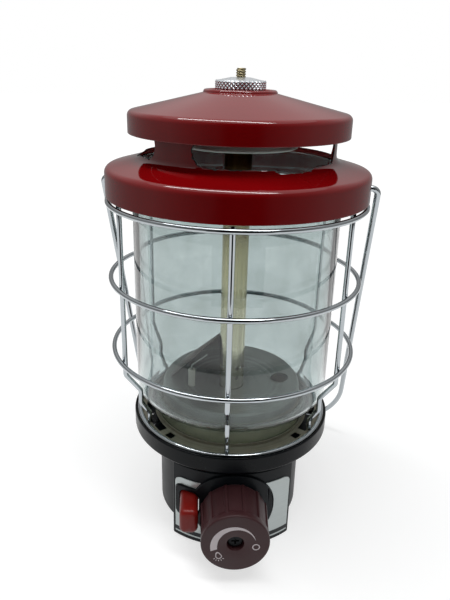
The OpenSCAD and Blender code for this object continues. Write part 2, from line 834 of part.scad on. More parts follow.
// Coil spring between the diaphragm and the bonnet, one tube swept along a helix
module regulator_spring() {
    sides = 6;
    rings_per_turn = 12;
    rings = spring_turns * rings_per_turn;
    lead_angle = atan2(spring_len, 360 * spring_turns * PI / 180 * spring_r);
    points = [
        for (i = [0:rings], s = [0:sides - 1])
            let (turn = 360 * i / rings_per_turn, a = 360 * s / sides)
            let (out = spring_r + spring_wire * cos(a), up = spring_wire * sin(a))
            [
                out * cos(turn) + up * sin(lead_angle) * sin(turn),
                out * sin(turn) - up * sin(lead_angle) * cos(turn),
                spring_len * i / rings + up * cos(lead_angle)
            ]
    ];
    sides_faces = [
        for (i = [0:rings - 1], s = [0:sides - 1])
            let (a = i * sides + s, b = i * sides + (s + 1) % sides)
            each [[a, a + sides, b], [b, a + sides, b + sides]]
    ];
    caps = [
        [for (s = [0:sides - 1]) s],
        [for (s = [sides - 1:-1:0]) rings * sides + s]
    ];
    echo(least_gap_between_turns = spring_len / spring_turns * cos(lead_angle) - 2 * spring_wire);
    color("#a8aaa8") translate([0, bonnet_front + spring_wire + 0.2, bonnet_z]) rotate([-90, 0, 0]) {
        polyhedron(points, concat(caps, sides_faces));
    }
}

// Rubber ring that seals on the cylinder's valve
module inlet_seal() {
    seal_t = 3;
    color("#262626") translate([0, 0, seat_bore_top - fixed_gap - seal_t]) difference() {
        cylinder(h = seal_t, r = seat_bore_r - 2 * fixed_gap);
        translate([0, 0, -1]) cylinder(h = seal_t + 2, r = seat_bore_r / 2);
    }
}

// Pin that opens the cylinder's valve
module inlet_pin() {
    pin_r = 1.2;
    head_h = 2.5;
    color("#b08d57") union() {
        translate([0, 0, inlet_z + inlet_depth + 0.3]) cylinder(h = seat_bore_top - inlet_z - inlet_depth, r = pin_r);
        translate([0, 0, seat_bore_top + 0.2]) cylinder(h = head_h, r = passage_r - 2 * fixed_gap);
    }
}

// Hexagon nut that seals the valve stem
module valve_gland() {
    hex = 15;
    color("#b08d57") translate([0, 0, knob_z]) difference() {
        translate([0, -gland_rear - fixed_gap, 0]) rotate([90, 0, 0]) {
            cylinder(h = gland_front - gland_rear, d = hex / cos(30), $fn = 6);
        }
        forward(stem_r + run_gap, gland_rear - 1, gland_front + 1);
    }
}

// Turned outline of the globe, drawn in by a wall
function globe_path(inset) = concat(
    [[globe_neck_r - inset, globe_low]],
    reversed(arc(globe_neck_r + globe_fillet_r, globe_low + globe_bowl_h - globe_fillet_r,
        globe_fillet_r + inset, 90, 180)),
    arc(globe_r - globe_corner_r, globe_low + globe_bowl_h + globe_corner_r, globe_corner_r - inset, -90, 0),
    [[globe_r - inset, globe_top]]
);

// Clear glass globe: straight wall, round lower corner, narrow foot
module globe() {
    color("#dfe8e8", 0.35) rotate_extrude() polygon(concat(globe_path(0), reversed(globe_path(globe_t))));
}

// A ring of guard wire
module wire_ring(ring_r, z) {
    color("#c8cccd") translate([0, 0, z]) rotate_extrude() translate([ring_r, 0]) circle(wire_r);
}

// Guard rings and the ring that stands on the pan
module guard_ring_top() wire_ring(guard_r, ring_top_z);
module guard_ring_upper() wire_ring(guard_r, ring_mid_z);
module guard_ring_lower() wire_ring(guard_r, ring_low_z);
module guard_foot_ring() wire_ring(foot_r, foot_z);

// Heading of one stretch of a bent wire, in degrees from +X towards +Z
function heading(points, i) = atan2(points[i + 1].y - points[i].y, points[i + 1].x - points[i].x);

// Distance from a point of a bent wire to where its bend starts and ends
function bend_cut(points, i) = upright_bend_r * tan(abs(heading(points, i) - heading(points, i - 1)) / 2);

// Length that a bend takes off each of the two stretches that it joins, which run a little way into it
function stretch_cut(points, i) = i < 1 || i > len(points) - 2 ? 0 : bend_cut(points, i) - bend_overlap;

// A point of a bent wire's plane in space
function in_plane(p) = [p.x, 0, p.y];

// A wire in the XZ plane, straight between its points and bent round at each of them
module bent_wire(points) {
    for (i = [0:len(points) - 2]) {
        along = [cos(heading(points, i)), sin(heading(points, i))];
        rod(
            in_plane(points[i] + along * stretch_cut(points, i)),
            in_plane(points[i + 1] - along * stretch_cut(points, i + 1)),
            wire_r
        );
    }
    for (i = [1:len(points) - 2]) {
        before = heading(points, i - 1);
        after = heading(points, i);
        side = sign(after - before);
        start = points[i] - [cos(before), sin(before)] * bend_cut(points, i);
        middle = start + side * upright_bend_r * [-sin(before), cos(before)];
        first = side > 0 ? before - 90 : after + 90;
        translate(in_plane(middle)) rotate([90, 0, 0]) rotate([0, 0, first]) {
            rotate_extrude(angle = abs(after - before)) translate([upright_bend_r, 0]) circle(wire_r + bend_swell);
        }
    }
}

// One bent upright of the guard, inside the rings
module guard_upright(number) {
    turn = -90 + guard_turn + 360 * (number - 1) / upright_count;
    color("#c8cccd") rotate([0, 0, turn]) union() {
        bent_wire([
            [leg_r, foot_z], [leg_r, pan_top + upright_ankle], [pass_r, pan_top + upright_hip],
            [pass_r, ring_low_z - upright_bend - upright_slope], [upright_r, ring_low_z - upright_bend],
            [upright_r, ring_top_z + wire_r]
        ]);
    }
}

// Turned outline of the ventilator above its skirt's lower edge, moved in and down by the sheet
function vent_path(t) = concat(
    [[skirt_r - t, vent_z]],
    arc(skirt_in - t, vent_z + skirt_h - t, skirt_corner, 0, 90 - shoulder_slope),
    reversed(arc(fillet_r - t, vent_z + fillet_z - t, neck_fillet, 180, 270 - shoulder_slope)),
    [[neck_r - t, neck_top]]
);

// Red enamelled ventilator: skirt, shoulder and neck with three windows, and the bail's pivot holes
module ventilator() {
    window_angle = 360 / 3 - pillar_angle;
    color("#8e0f14") difference() {
        rotate_extrude() polygon(concat(vent_path(0), reversed(vent_path(sheet_t))));
        for (i = [0:2]) {
            middle = -90 + pillar_turn + 60 + 120 * i;
            rotate([0, 0, middle - window_angle / 2]) ring_cut(window_angle, sill_z, window_top);
            rotate([0, 0, middle + 9.5 - notch_angle / 2]) ring_cut(notch_angle, sill_z - notch_depth, sill_z + 1);
        }
        for (side = [-1, 1]) {
            rotate([0, 0, bail_turn]) translate([side * skirt_r, 0, pivot_z]) rotate([0, 90, 0]) {
                cylinder(h = 8, r = bail_r + 2 * run_gap, center = true);
            }
        }
    }
}

// A sector cut through the neck between two heights
module ring_cut(angle, low, high) {
    rotate_extrude(angle = angle) translate([neck_r - 8, low]) square([12, high - low]);
}

// Turned outline of the cap, moved in and down by the sheet
function cap_path(t) = concat(
    [[cap_r - t, cap_z]],
    arc(cap_r - cap_corner - t, cap_z + cap_rim_h - t, cap_corner, 0, 90 - cap_slope),
    [[flat_r - t, flat_z - t]]
);

// Red enamelled cap with a raised bead round its flat
module ventilator_cap() {
    hole_r = stud_r + free_gap;
    color("#8e0f14") rotate_extrude() union() {
        polygon(concat(
            cap_path(0),
            [[hole_r, flat_z], [hole_r, flat_z - sheet_t]],
            reversed(cap_path(sheet_t))
        ));
        intersection() {
            translate([bead_r, bead_top - bead_wire]) circle(bead_wire);
            translate([0, flat_z - sheet_t / 2]) square([cap_r, bead_wire * 2]);
        }
    }
}

// Pale dish under the cap
module cap_baffle() {
    hole_r = stud_r + free_gap;
    rim_z = baffle_top - baffle_h;
    color("#9aa09b") rotate_extrude() polygon([
        [hole_r, baffle_top - baffle_t], [hole_r, baffle_top], [baffle_hub_r, baffle_top],
        [baffle_r, rim_z + baffle_t], [baffle_r, rim_z], [baffle_r - 2 * baffle_t, rim_z],
        [baffle_hub_r - baffle_t, baffle_top - baffle_t]
    ]);
}

// Knurled nut with a boss that stands on the cap's flat
module thumb_nut() {
    edge = 0.6;
    color("#c4c8ca") difference() {
        union() {
            rotate_extrude() polygon([
                [0, nut_z], [nut_r - edge, nut_z], [nut_r, nut_z + edge], [nut_r, nut_z + nut_h - edge],
                [nut_r - edge, nut_z + nut_h], [0, nut_z + nut_h]
            ]);
            translate([0, 0, nut_boss_z]) cylinder(h = nut_z - nut_boss_z + edge, r = nut_boss_r);
            translate([0, 0, nut_z]) cylinder(h = nut_h + 1, r1 = nut_r - 2, r2 = nut_boss_r - 3);
        }
        translate([0, 0, nut_boss_z - 1]) cylinder(h = nut_h + 6, r = stud_r + run_gap);
    }
}

// One half of the bail: pin with its head, bend, leg, corner and half of the bow
module bail_half() {
    rotate([0, 90, 0]) translate([0, 0, pin_end_x]) cylinder(h = bail_x - bail_bend - pin_end_x, r = bail_r);
    rotate([0, 90, 0]) translate([0, 0, pin_end_x]) cylinder(h = pin_head, r = bail_r + 0.8);
    translate([bail_x - bail_bend, 0, -bail_bend]) rotate([90, 0, 0]) {
        rotate_extrude(angle = 90) translate([bail_bend, 0]) circle(bail_r);
    }
    translate([bail_x, 0, bail_corner - bail_len]) cylinder(h = bail_len - bail_corner - bail_bend, r = bail_r);
    translate([bail_x - bail_corner, 0, bail_corner - bail_len]) rotate([90, 90, 0]) {
        rotate_extrude(angle = 90) translate([bail_corner, 0]) circle(bail_r);
    }
    rotate([0, 90, 0]) translate([bail_len, 0, 0]) cylinder(h = bail_x - bail_corner, r = bail_r);
}

// Wire handle that hangs behind the body
module bail() {
    color("#c8cccd") translate([0, 0, pivot_z]) rotate([0, 0, bail_turn]) rotate([bail_rest, 0, 0]) union() {
        bail_half();
        mirror([1, 0, 0]) bail_half();
    }
}

// Fluted knob: ribs, front flange, counterbore, and the socket for the valve stem
module control_knob() {
    rib_end = knob_front - knob_flange + 0.1;
    color("#40292b") translate([0, 0, knob_z]) difference() {
        union() {
            forward_cone(knob_r + knob_draft - knob_recess, knob_r - knob_recess, knob_rear, rib_end);
            forward(knob_r, knob_front - knob_flange, knob_front);
            intersection() {
                forward_cone(knob_r + knob_draft, knob_r, knob_rear, rib_end);
                for (i = [0:knob_ribs - 1]) {
                    rotate([0, 360 * (i + 0.5) / knob_ribs, 0]) {
                        translate([-knob_rib_w / 2, -knob_front, 0]) cube([knob_rib_w, knob_len, knob_r + 2 * knob_draft]);
                    }
                }
            }
        }
        forward(knob_bore_r, knob_front - knob_bore_depth, knob_front + 1);
        forward(knob_screw_r + 2 * fixed_gap, knob_rear, knob_front);
        forward(stem_r + fixed_gap, knob_rear - 1, stem_front + fixed_gap);
    }
}

// Screw that holds the knob on the stem
module knob_screw() {
    seat = knob_front - knob_bore_depth + fixed_gap;
    color("#3a3c3e") translate([0, 0, knob_z]) difference() {
        union() {
            forward(knob_screw_head_r, seat, seat + knob_screw_head_h);
            forward(knob_screw_r, seat - knob_screw_len, seat + 0.1);
        }
        for (turn = [0, 90]) {
            rotate([0, turn, 0]) translate([-2.4, -seat - knob_screw_head_h - 1, -cross_w / 2]) {
                cube([4.8, 2.5, cross_w]);
            }
        }
    }
}

// Valve stem from the regulator to the knob
module valve_stem() {
    color("#b08d57") translate([0, 0, knob_z]) difference() {
        forward(stem_r, stem_rear, stem_front);
        forward(knob_screw_r + fixed_gap, stem_front - knob_screw_len, stem_front + 1);
    }
}

// Red push button with a flange behind the boss
module igniter_button() {
    color("#8a1a14") union() {
        push_forward(button_rear - button_flange, button_reach) {
            translate([-button_offset, knob_z]) round_rect(button_w, button_h, button_corner);
        }
        push_forward(button_rear - button_flange, button_rear) {
            translate([-button_offset, knob_z]) round_rect(button_w + 1.6, button_h + 3, button_corner);
        }
    }
}

// Rod that the button pushes into the piezo unit
module igniter_plunger() {
    color("#d8d5c8") translate([-button_offset, 0, knob_z]) {
        forward(plunger_r, plunger_rear, button_rear - button_flange - fixed_gap);
    }
}

body_shell();
panel_label();
control_bezel();
collar();
collar_screws();
base_pan();
pan_screws();
heat_shield();
burner_deflector();
mixing_tube();
gas_jet();
burner_tube();
stud_bushing();
top_stud();
electrode_insulator();
electrode_wire();
igniter_lead();
piezo_igniter();
regulator_body();
regulator_screws();
regulator_diaphragm();
regulator_spring();
regulator_bonnet();
inlet_seal();
inlet_pin();
valve_gland();
globe();
guard_ring_top();
guard_ring_upper();
guard_ring_lower();
guard_foot_ring();
guard_upright(1);  // guard_upright_1
guard_upright(2);  // guard_upright_2
guard_upright(3);  // guard_upright_3
guard_upright(4);  // guard_upright_4
guard_upright(5);  // guard_upright_5
guard_upright(6);  // guard_upright_6
ventilator();
ventilator_cap();
cap_baffle();
thumb_nut();
bail();
control_knob();
knob_screw();
valve_stem();
igniter_button();
igniter_plunger();
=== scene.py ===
import math

import bmesh
import bpy
from mathutils import Matrix, Vector


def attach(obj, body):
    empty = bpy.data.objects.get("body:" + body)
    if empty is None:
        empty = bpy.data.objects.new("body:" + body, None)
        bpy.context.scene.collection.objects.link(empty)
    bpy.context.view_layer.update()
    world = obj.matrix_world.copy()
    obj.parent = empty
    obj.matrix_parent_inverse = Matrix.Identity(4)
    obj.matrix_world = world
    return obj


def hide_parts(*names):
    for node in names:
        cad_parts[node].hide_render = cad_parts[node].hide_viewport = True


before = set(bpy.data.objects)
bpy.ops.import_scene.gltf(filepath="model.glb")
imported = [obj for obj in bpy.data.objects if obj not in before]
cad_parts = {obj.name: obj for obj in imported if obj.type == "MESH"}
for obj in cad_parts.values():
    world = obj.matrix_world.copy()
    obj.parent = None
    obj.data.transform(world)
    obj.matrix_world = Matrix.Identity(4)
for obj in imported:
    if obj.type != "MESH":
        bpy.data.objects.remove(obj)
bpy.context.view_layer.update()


# Regulator
# A zinc die casting under the deck, with a brass gland, jet and pin, and rubber seals inside it.
# The castings are left as cast, matt and slightly pitted; the turned brass is brighter.
def linear(code):
    """An sRGB hex colour as linear RGBA."""
    parts = [int(code[i:i + 2], 16) / 255 for i in (1, 3, 5)]
    return [c / 12.92 if c <= 0.04045 else ((c + 0.055) / 1.055) ** 2.4 for c in parts] + [1.0]


def link(tree, node, sources):
    """Links sources to a node's inputs; a node given as a source stands for its first output."""
    for name, source in sources.items():
        tree.links.new(source.outputs[0] if isinstance(source, bpy.types.Node) else source, node.inputs[name])


def add(tree, kind, values=None, links=None, **settings):
    """A new node with its settings, its input values and the links to its inputs."""
    node = tree.nodes.new(kind)
    for name, value in settings.items():
        setattr(node, name, value)
    for name, value in (values or {}).items():
        node.inputs[name].default_value = value
    link(tree, node, links or {})
    return node


def new_finish(name, **values):
    """A new material with its shader's inputs set, its node tree, that shader and the places on the object."""
    material = bpy.data.materials.new(name)
    material.use_nodes = True
    shader = material.node_tree.nodes["Principled BSDF"]
    for key, value in values.items():
        shader.inputs[key.replace("_", " ")].default_value = value
    place = add(material.node_tree, "ShaderNodeTexCoord").outputs["Object"]
    return material, material.node_tree, shader, place


def speckle(tree, shader, place, colours, roughness, grain_mm, depth_mm, stretch=(1, 1, 1)):
    """Colour and roughness that drift between two values, and a fine bump of that grain."""
    drawn = add(tree, "ShaderNodeMapping", {"Scale": stretch}, {"Vector": place})
    drift = add(tree, "ShaderNodeTexNoise", {"Scale": 1000 / (20 * grain_mm), "Detail": 3}, {"Vector": drawn})
    grain = add(tree, "ShaderNodeTexNoise", {"Scale": 1000 / grain_mm, "Detail": 2}, {"Vector": drawn})
    mix = add(tree, "ShaderNodeMix", {6: linear(colours[0]), 7: linear(colours[1])}, {0: drift}, data_type="RGBA")
    rough = add(tree, "ShaderNodeMapRange",
                {"From Min": 0.3, "From Max": 0.7, "To Min": roughness[0], "To Max": roughness[1]},
                {"Value": drift})
    bump = add(tree, "ShaderNodeBump", {"Strength": 0.6, "Distance": depth_mm * mm}, {"Height": grain})
    link(tree, shader, {"Base Color": mix.outputs[2], "Roughness": rough, "Normal": bump})
    return mix


def grained(name, colours, roughness, grain_mm, depth_mm, stretch=(1, 1, 1), **values):
    """A new material that is that speckle and nothing more."""
    material, tree, shader, place = new_finish(name, **values)
    speckle(tree, shader, place, colours, roughness, grain_mm, depth_mm, stretch)
    return material


def paint(material, *nodes):
    """Gives CAD nodes that stay as they are their material."""
    for node in nodes:
        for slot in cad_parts[node].material_slots:
            slot.material = material


mm = 0.001
# Zinc as cast: grey, matt and slightly pitted.
die_cast = grained("zinc_die_casting", ("#85878a", "#9a9c9c"), (0.38, 0.52), 0.9, 0.05, Metallic=0.9)
paint(die_cast, "regulator_body", "regulator_bonnet")
# Brass from the lathe: yellow, with fine tool lines.
brass = grained("turned_brass", ("#a98449", "#bd9b63"), (0.22, 0.34), 0.7, 0.02, (1, 1, 6), Metallic=1.0)
paint(brass, "gas_jet", "inlet_pin", "valve_gland", "valve_stem", "stud_bushing")
# Moulded rubber: nearly black, and it hardly shines.
rubber = grained("nitrile_rubber", ("#1f1f20", "#2c2c2c"), (0.7, 0.85), 0.5, 0.03, IOR=1.52)
paint(rubber, "regulator_diaphragm", "inlet_seal")
# Zinc plate: dull silver, with a slight drift in its sheen.
zinc_steel = grained("zinc_plated_steel", ("#8f918d", "#a9aba6"), (0.28, 0.42), 0.6, 0.02, Metallic=1.0)
paint(zinc_steel, "regulator_screws", "collar_screws", "pan_screws", "regulator_spring")


# Body
# A black ABS moulding: a round cup with a squarer boss in front that carries the controls.
# It leaves the mould with a fine satin texture and soft edges.
def plain(obj):
    """The object with its modifiers turned into a plain mesh."""
    seen = obj.evaluated_get(bpy.context.evaluated_depsgraph_get())
    mesh = bpy.data.meshes.new_from_object(seen)
    obj.modifiers.clear()
    obj.data = mesh
    return obj


def new_piece(name, mesh, material):
    """A new object in the scene, smooth but for its hard edges."""
    obj = bpy.data.objects.new(name, mesh)
    bpy.context.scene.collection.objects.link(obj)
    mesh.materials.clear()
    mesh.materials.append(material)
    mesh.shade_smooth()
    mesh.set_sharp_from_angle(angle=math.radians(40))
    return obj


def soft_edges(obj, edge_mm, angle=40):
    """Rounds the piece's hard edges."""
    bevel = obj.modifiers.new("edges", "BEVEL")
    bevel.width = edge_mm * mm
    bevel.segments = 3
    bevel.limit_method = "ANGLE"
    bevel.angle_limit = math.radians(angle)
    bevel.use_clamp_overlap = False
    bevel.harden_normals = True
    return plain(obj)


def softened(node, name, edge_mm, material):
    """A copy of a CAD node's mesh, merged, with its edges rounded."""
    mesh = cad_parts[node].data.copy()
    mesh.name = name
    if "custom_normal" in mesh.attributes:
        mesh.attributes.remove(mesh.attributes["custom_normal"])
    shape = bmesh.new()
    shape.from_mesh(mesh)
    bmesh.ops.remove_doubles(shape, verts=shape.verts, dist=0.002 * mm)
    bmesh.ops.dissolve_limit(shape, angle_limit=math.radians(0.5), verts=shape.verts, edges=shape.edges)
    shape.to_mesh(mesh)
    shape.free()
    return soft_edges(new_piece(name, mesh, material), edge_mm)


def settle(obj, body, slot, *nodes):
    """The piece rides on a body and stands for those CAD nodes; the slot is not used."""
    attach(obj, body)
    if nodes:
        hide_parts(*nodes)


def dress(node, name, edge_mm, material, slot, body="base"):
    """A softened copy that stands for its CAD node."""
    settle(softened(node, name, edge_mm, material), body, slot, node)


# Moulded ABS: black, with a soft sheen and a fine grain.
black_abs = grained("black_abs", ("#0c1013", "#151a1f"), (0.36, 0.46), 0.8, 0.03,
                    IOR=1.54, Specular_IOR_Level=0.15)
dress("body_shell", "body", 0.9, black_abs, "black_plastic")

# Moulded ABS again, a little greyer.
piezo_abs = grained("piezo_housing", ("#282d33", "#343a40"), (0.4, 0.5), 0.8, 0.03, IOR=1.54)
paint(piezo_abs, "piezo_igniter")
# Extruded silicone: pale and matt.
sleeve = grained("silicone_sleeve", ("#bfb9a8", "#cfcaba"), (0.55, 0.65), 1.2, 0.03, IOR=1.41)
paint(sleeve, "igniter_lead")


# Collar
# A glass-filled nylon ring on the deck, black with a bluish bloom; its rim keeps foot ring and pan in place.
# Three screws from above hold it, and its floor has air holes under the pan's slots.

# Moulded nylon: blacker than the body, with a tighter shine along its rim.
nylon = grained("glass_filled_nylon", ("#05080b", "#0a0e13"), (0.25, 0.36), 0.9, 0.03,
                IOR=1.53, Specular_IOR_Level=0.12)
dress("collar", "collar_ring", 0.55, nylon, "collar_plastic")


# Pan
# A pressed steel pan on the collar's posts, zinc plated and dulled by heat.
# Its press and the lathe that trimmed it leave faint rings round the axis.
def from_axis(tree, place):
    """How far a place is from the lantern's axis."""
    flat = add(tree, "ShaderNodeVectorMath", {1: (1, 1, 0)}, {0: place}, operation="MULTIPLY")
    return add(tree, "ShaderNodeVectorMath", links={0: flat}, operation="LENGTH").outputs["Value"]


def turned_sheet(name, colours, roughness, pitch_mm, metallic):
    """Sheet metal with fine rings round the axis, and stains that drift over them."""
    material, tree, shader, place = new_finish(name, Metallic=metallic)
    rings = add(tree, "ShaderNodeTexNoise", {"Scale": 1000 / pitch_mm, "Detail": 3},
                {"W": from_axis(tree, place)}, noise_dimensions="1D")
    stain_mm = 14.3
    stain = add(tree, "ShaderNodeTexNoise", {"Scale": 1000 / stain_mm, "Detail": 4}, {"Vector": place})
    both = add(tree, "ShaderNodeMath", links={0: rings, 1: stain}, operation="ADD")
    share = add(tree, "ShaderNodeMapRange", {"From Min": 0.7, "From Max": 1.3}, {"Value": both})
    mix = add(tree, "ShaderNodeMix", {6: linear(colours[0]), 7: linear(colours[1])}, {0: share}, data_type="RGBA")
    rough = add(tree, "ShaderNodeMapRange", {"To Min": roughness[0], "To Max": roughness[1]}, {"Value": share})
    bump = add(tree, "ShaderNodeBump", {"Strength": 0.35, "Distance": 0.05 * mm}, {"Height": rings})
    link(tree, shader, {"Base Color": mix.outputs[2], "Roughness": rough, "Normal": bump})
    return material


# Zinc plate after much heat: warm grey, with faint rings.
pan_zinc = turned_sheet("dulled_zinc_plate", ("#7c7768", "#948e7e"), (0.35, 0.5), 1.6, 0.3)
dress("base_pan", "pan", 0.2, pan_zinc, "pan_steel")


# Burner
# The mixing tube stands on the deck and carries the nickel-plated centre tube, which goes up to the stud.
# Heat has turned its plating straw-coloured, brown near the top; the deflector beside it is burnt dark brown.

# Nickel on drawn tube: bright streaks along it, straw low down and brown at the top.
tube_nickel, tree, shader, place = new_finish("heat_tinted_nickel", Metallic=1.0)
split = add(tree, "ShaderNodeSeparateXYZ", links={0: place})
tint_low, tint_top = 85, 268
height = add(tree, "ShaderNodeMapRange", {"From Min": tint_low * mm, "From Max": tint_top * mm},
             {"Value": split.outputs["Z"]})
tint = add(tree, "ShaderNodeValToRGB", links={"Fac": height})
stops = (("#e4dcc6", 0.0), ("#ece0be", 0.35), ("#dccea6", 0.5), ("#b4a684", 0.65), ("#80704f", 0.8),
         ("#5a4023", 0.9), ("#33210f", 1.0))
while len(tint.color_ramp.elements) < len(stops):
    tint.color_ramp.elements.new(0.5)
for element, (code, at) in zip(tint.color_ramp.elements, stops):
    element.position = at
    element.color = linear(code)
drawn = add(tree, "ShaderNodeMapping", {"Scale": (1, 1, 0.02)}, {"Vector": place})
streak_mm = 1.43
streaks = add(tree, "ShaderNodeTexNoise", {"Scale": 1000 / streak_mm, "Detail": 3}, {"Vector": drawn})
shade = add(tree, "ShaderNodeMapRange", {"From Min": 0.3, "From Max": 0.7, "To Min": 0.78, "To Max": 1.1},
            {"Value": streaks})
tinted = add(tree, "ShaderNodeVectorMath", links={0: tint, "Scale": shade}, operation="SCALE")
rough = add(tree, "ShaderNodeMapRange", {"To Min": 0.14, "To Max": 0.26}, {"Value": streaks})
link(tree, shader, {"Base Color": tinted, "Roughness": rough})
paint(tube_nickel, "mixing_tube")
dress("burner_tube", "centre_tube", 0.15, tube_nickel, "tube_nickel")

# Burnt sheet: rough, dark brown near the flame and grey at its cooler edge.
burnt_steel, tree, shader, place = new_finish("burnt_steel", Metallic=0.55)
mix = speckle(tree, shader, place, ("#2b1c15", "#58402f"), (0.4, 0.6), 2.5, 0.15)
hot_r = 22
cool_r = 46
cooler = add(tree, "ShaderNodeMapRange", {"From Min": hot_r * mm, "From Max": cool_r * mm},
             {"Value": from_axis(tree, place)})
scaled = add(tree, "ShaderNodeMix", {7: linear("#6f6d68")}, {0: cooler, 6: mix.outputs[2]}, data_type="RGBA")
link(tree, shader, {"Base Color": scaled.outputs[2]})
dress("burner_deflector", "deflector", 0.15, burnt_steel, "deflector_steel")

# Plated sheet: grey with faint rings, with painted light down its wall, lighter and warmer towards its foot where
# it sits in shade.
shield_grey = turned_sheet("grey_plated_sheet", ("#6c6f6a", "#8d918c"), (0.3, 0.42), 2.2, 0.6)
tree = shield_grey.node_tree
shader = tree.nodes["Principled BSDF"]
place = tree.nodes["Texture Coordinate"].outputs["Object"]
split = add(tree, "ShaderNodeSeparateXYZ", links={0: place})
# Painted light: from this height down, the wall's colour is mixed towards a pale cream.
fill_start_z, fill_full_z = 91, 80
low = add(tree, "ShaderNodeMapRange", {"From Min": fill_start_z * mm, "From Max": fill_full_z * mm},
          {"Value": split.outputs["Z"]})
dulled = shader.inputs["Base Color"].links[0].from_socket
fill_light = add(tree, "ShaderNodeMix", {7: linear("#f2e8cc")}, {0: low, 6: dulled}, data_type="RGBA")
link(tree, shader, {"Base Color": fill_light.outputs[2]})
dress("heat_shield", "shield", 0.25, shield_grey, "shield_steel")

# Glazed ceramic: creamy white, with a soft gloss.
glazed = grained("glazed_ceramic", ("#c3bfb0", "#d6d2c6"), (0.22, 0.35), 1.5, 0.03, IOR=1.52)
dress("electrode_insulator", "ceramic_stub", 0.5, glazed, "ceramic")
paint(glazed, "igniter_plunger")
paint(zinc_steel, "electrode_wire")


# Globe
# A blown and fire-polished borosilicate cylinder that narrows to a foot in the pan.
# It is clear, with a faint grey-blue cast, a slow waviness from blowing and a thin film of soot.
def rounded(corners, steps=6):
    """Points of an outline through (radius, height, fillet) corners in millimetres."""
    points = []
    for i, (x, y, fillet) in enumerate(corners):
        here = Vector((x, y))
        if fillet == 0:
            points.append(here)
            continue
        back = (Vector(corners[i - 1][:2]) - here).normalized()
        ahead = (Vector(corners[(i + 1) % len(corners)][:2]) - here).normalized()
        half = back.angle(ahead) / 2
        centre = here + (back + ahead).normalized() * (fillet / math.sin(half))
        start = here + back * (fillet / math.tan(half)) - centre
        end = here + ahead * (fillet / math.tan(half)) - centre
        first = math.atan2(start.y, start.x)
        sweep = math.remainder(math.atan2(end.y, end.x) - first, math.tau)
        for k in range(steps + 1):
            angle = first + sweep * k / steps
            points.append(centre + Vector((math.cos(angle), math.sin(angle))) * fillet)
    return points


def skin(shape, rows, ring=True, hoops=True):
    """Faces between rows of points; the rows may join up in a ring, and each row may close to a hoop."""
    for here, there in zip(rows, rows[1:] + (rows[:1] if ring else [])):
        for i in range(len(here) if hoops else len(here) - 1):
            j = (i + 1) % len(here)
            shape.faces.new((here[i], there[i], there[j], here[j]))


def finished(name, shape, material):
    """A new piece from a shape, its faces turned outwards."""
    bmesh.ops.recalc_face_normals(shape, faces=shape.faces)
    mesh = bpy.data.meshes.new(name)
    shape.to_mesh(mesh)
    shape.free()
    return new_piece(name, mesh, material)


def turned(name, outline, material, steps=192):
    """A closed outline of (radius, height) points in millimetres, turned about the lantern's axis."""
    shape = bmesh.new()
    rings = []
    for step in range(steps):
        angle = math.tau * step / steps
        side = (math.cos(angle), math.sin(angle))
        rings.append([shape.verts.new((r * side[0] * mm, r * side[1] * mm, z * mm)) for r, z in outline])
    skin(shape, rings)
    bmesh.ops.remove_doubles(shape, verts=shape.verts, dist=0.001 * mm)
    return finished(name, shape, material)


globe_low = 74.95
globe_top = 249.35
globe_r = 66.4
globe_wall = 2.2
foot_r = 52.5
bowl = globe_low + 15
corner_r = 10
fillet_r = 3
# Clear glass: slow waves in what shows through it, smears of soot, and a pale shadow.
glass, tree, shader, place = new_finish("borosilicate_glass", IOR=1.47, Roughness=0.0, Transmission_Weight=1.0)
smear_mm = 29.4
wave_mm = 62.5
film = add(tree, "ShaderNodeTexNoise", {"Scale": 1000 / smear_mm, "Detail": 5, "Roughness": 0.6},
           {"Vector": place})
spread = add(tree, "ShaderNodeMapRange", {"From Min": 0.35, "From Max": 0.68}, {"Value": film})
cast = add(tree, "ShaderNodeMix", {6: linear("#d4dcdc"), 7: linear("#c2cbca")}, {0: spread}, data_type="RGBA")
link(tree, shader, {"Base Color": cast.outputs[2]})
waves = add(tree, "ShaderNodeTexNoise", {"Scale": 1000 / wave_mm, "Detail": 1}, {"Vector": place})
bump = add(tree, "ShaderNodeBump", {"Strength": 0.1, "Distance": 0.6 * mm}, {"Height": waves})
link(tree, shader, {"Normal": bump})
path = add(tree, "ShaderNodeLightPath")
clear = add(tree, "ShaderNodeBsdfTransparent", {"Color": linear("#dfe5e4")})
see = add(tree, "ShaderNodeMixShader", links={0: path.outputs["Is Shadow Ray"], 1: shader, 2: clear})
link(tree, tree.nodes["Material Output"], {"Surface": see})
lip = globe_wall * 0.45
globe = turned("globe_glass", rounded([
    (foot_r - globe_wall, globe_low, lip), (foot_r, globe_low, lip), (foot_r, bowl, fillet_r),
    (globe_r, bowl, corner_r), (globe_r, globe_top, lip), (globe_r - globe_wall, globe_top, lip),
    (globe_r - globe_wall, bowl + globe_wall, corner_r - globe_wall),
    (foot_r - globe_wall, bowl + globe_wall, fillet_r + globe_wall),
], 8), glass)
settle(globe, "base", "glass", "globe")


# Guard
# Chromed steel wire: three equal rings, a foot ring, and six uprights that bend in under the globe's corner.
# The wires are resistance-welded where they cross, then plated together.
def new_tree(name, sizes):
    """A Geometry Nodes tree with those named inputs, and its inputs' sockets by name."""
    tree = bpy.data.node_groups.new(name, "GeometryNodeTree")
    tree.interface.new_socket("Geometry", in_out="OUTPUT", socket_type="NodeSocketGeometry")
    tree.interface.new_socket("Geometry", in_out="INPUT", socket_type="NodeSocketGeometry")
    kinds = {float: "NodeSocketFloat", int: "NodeSocketInt", bpy.types.Material: "NodeSocketMaterial"}
    for key, value in sizes.items():
        tree.interface.new_socket(key, in_out="INPUT", socket_type=kinds[type(value)])
    return tree, {socket.name: socket for socket in add(tree, "NodeGroupInput").outputs}


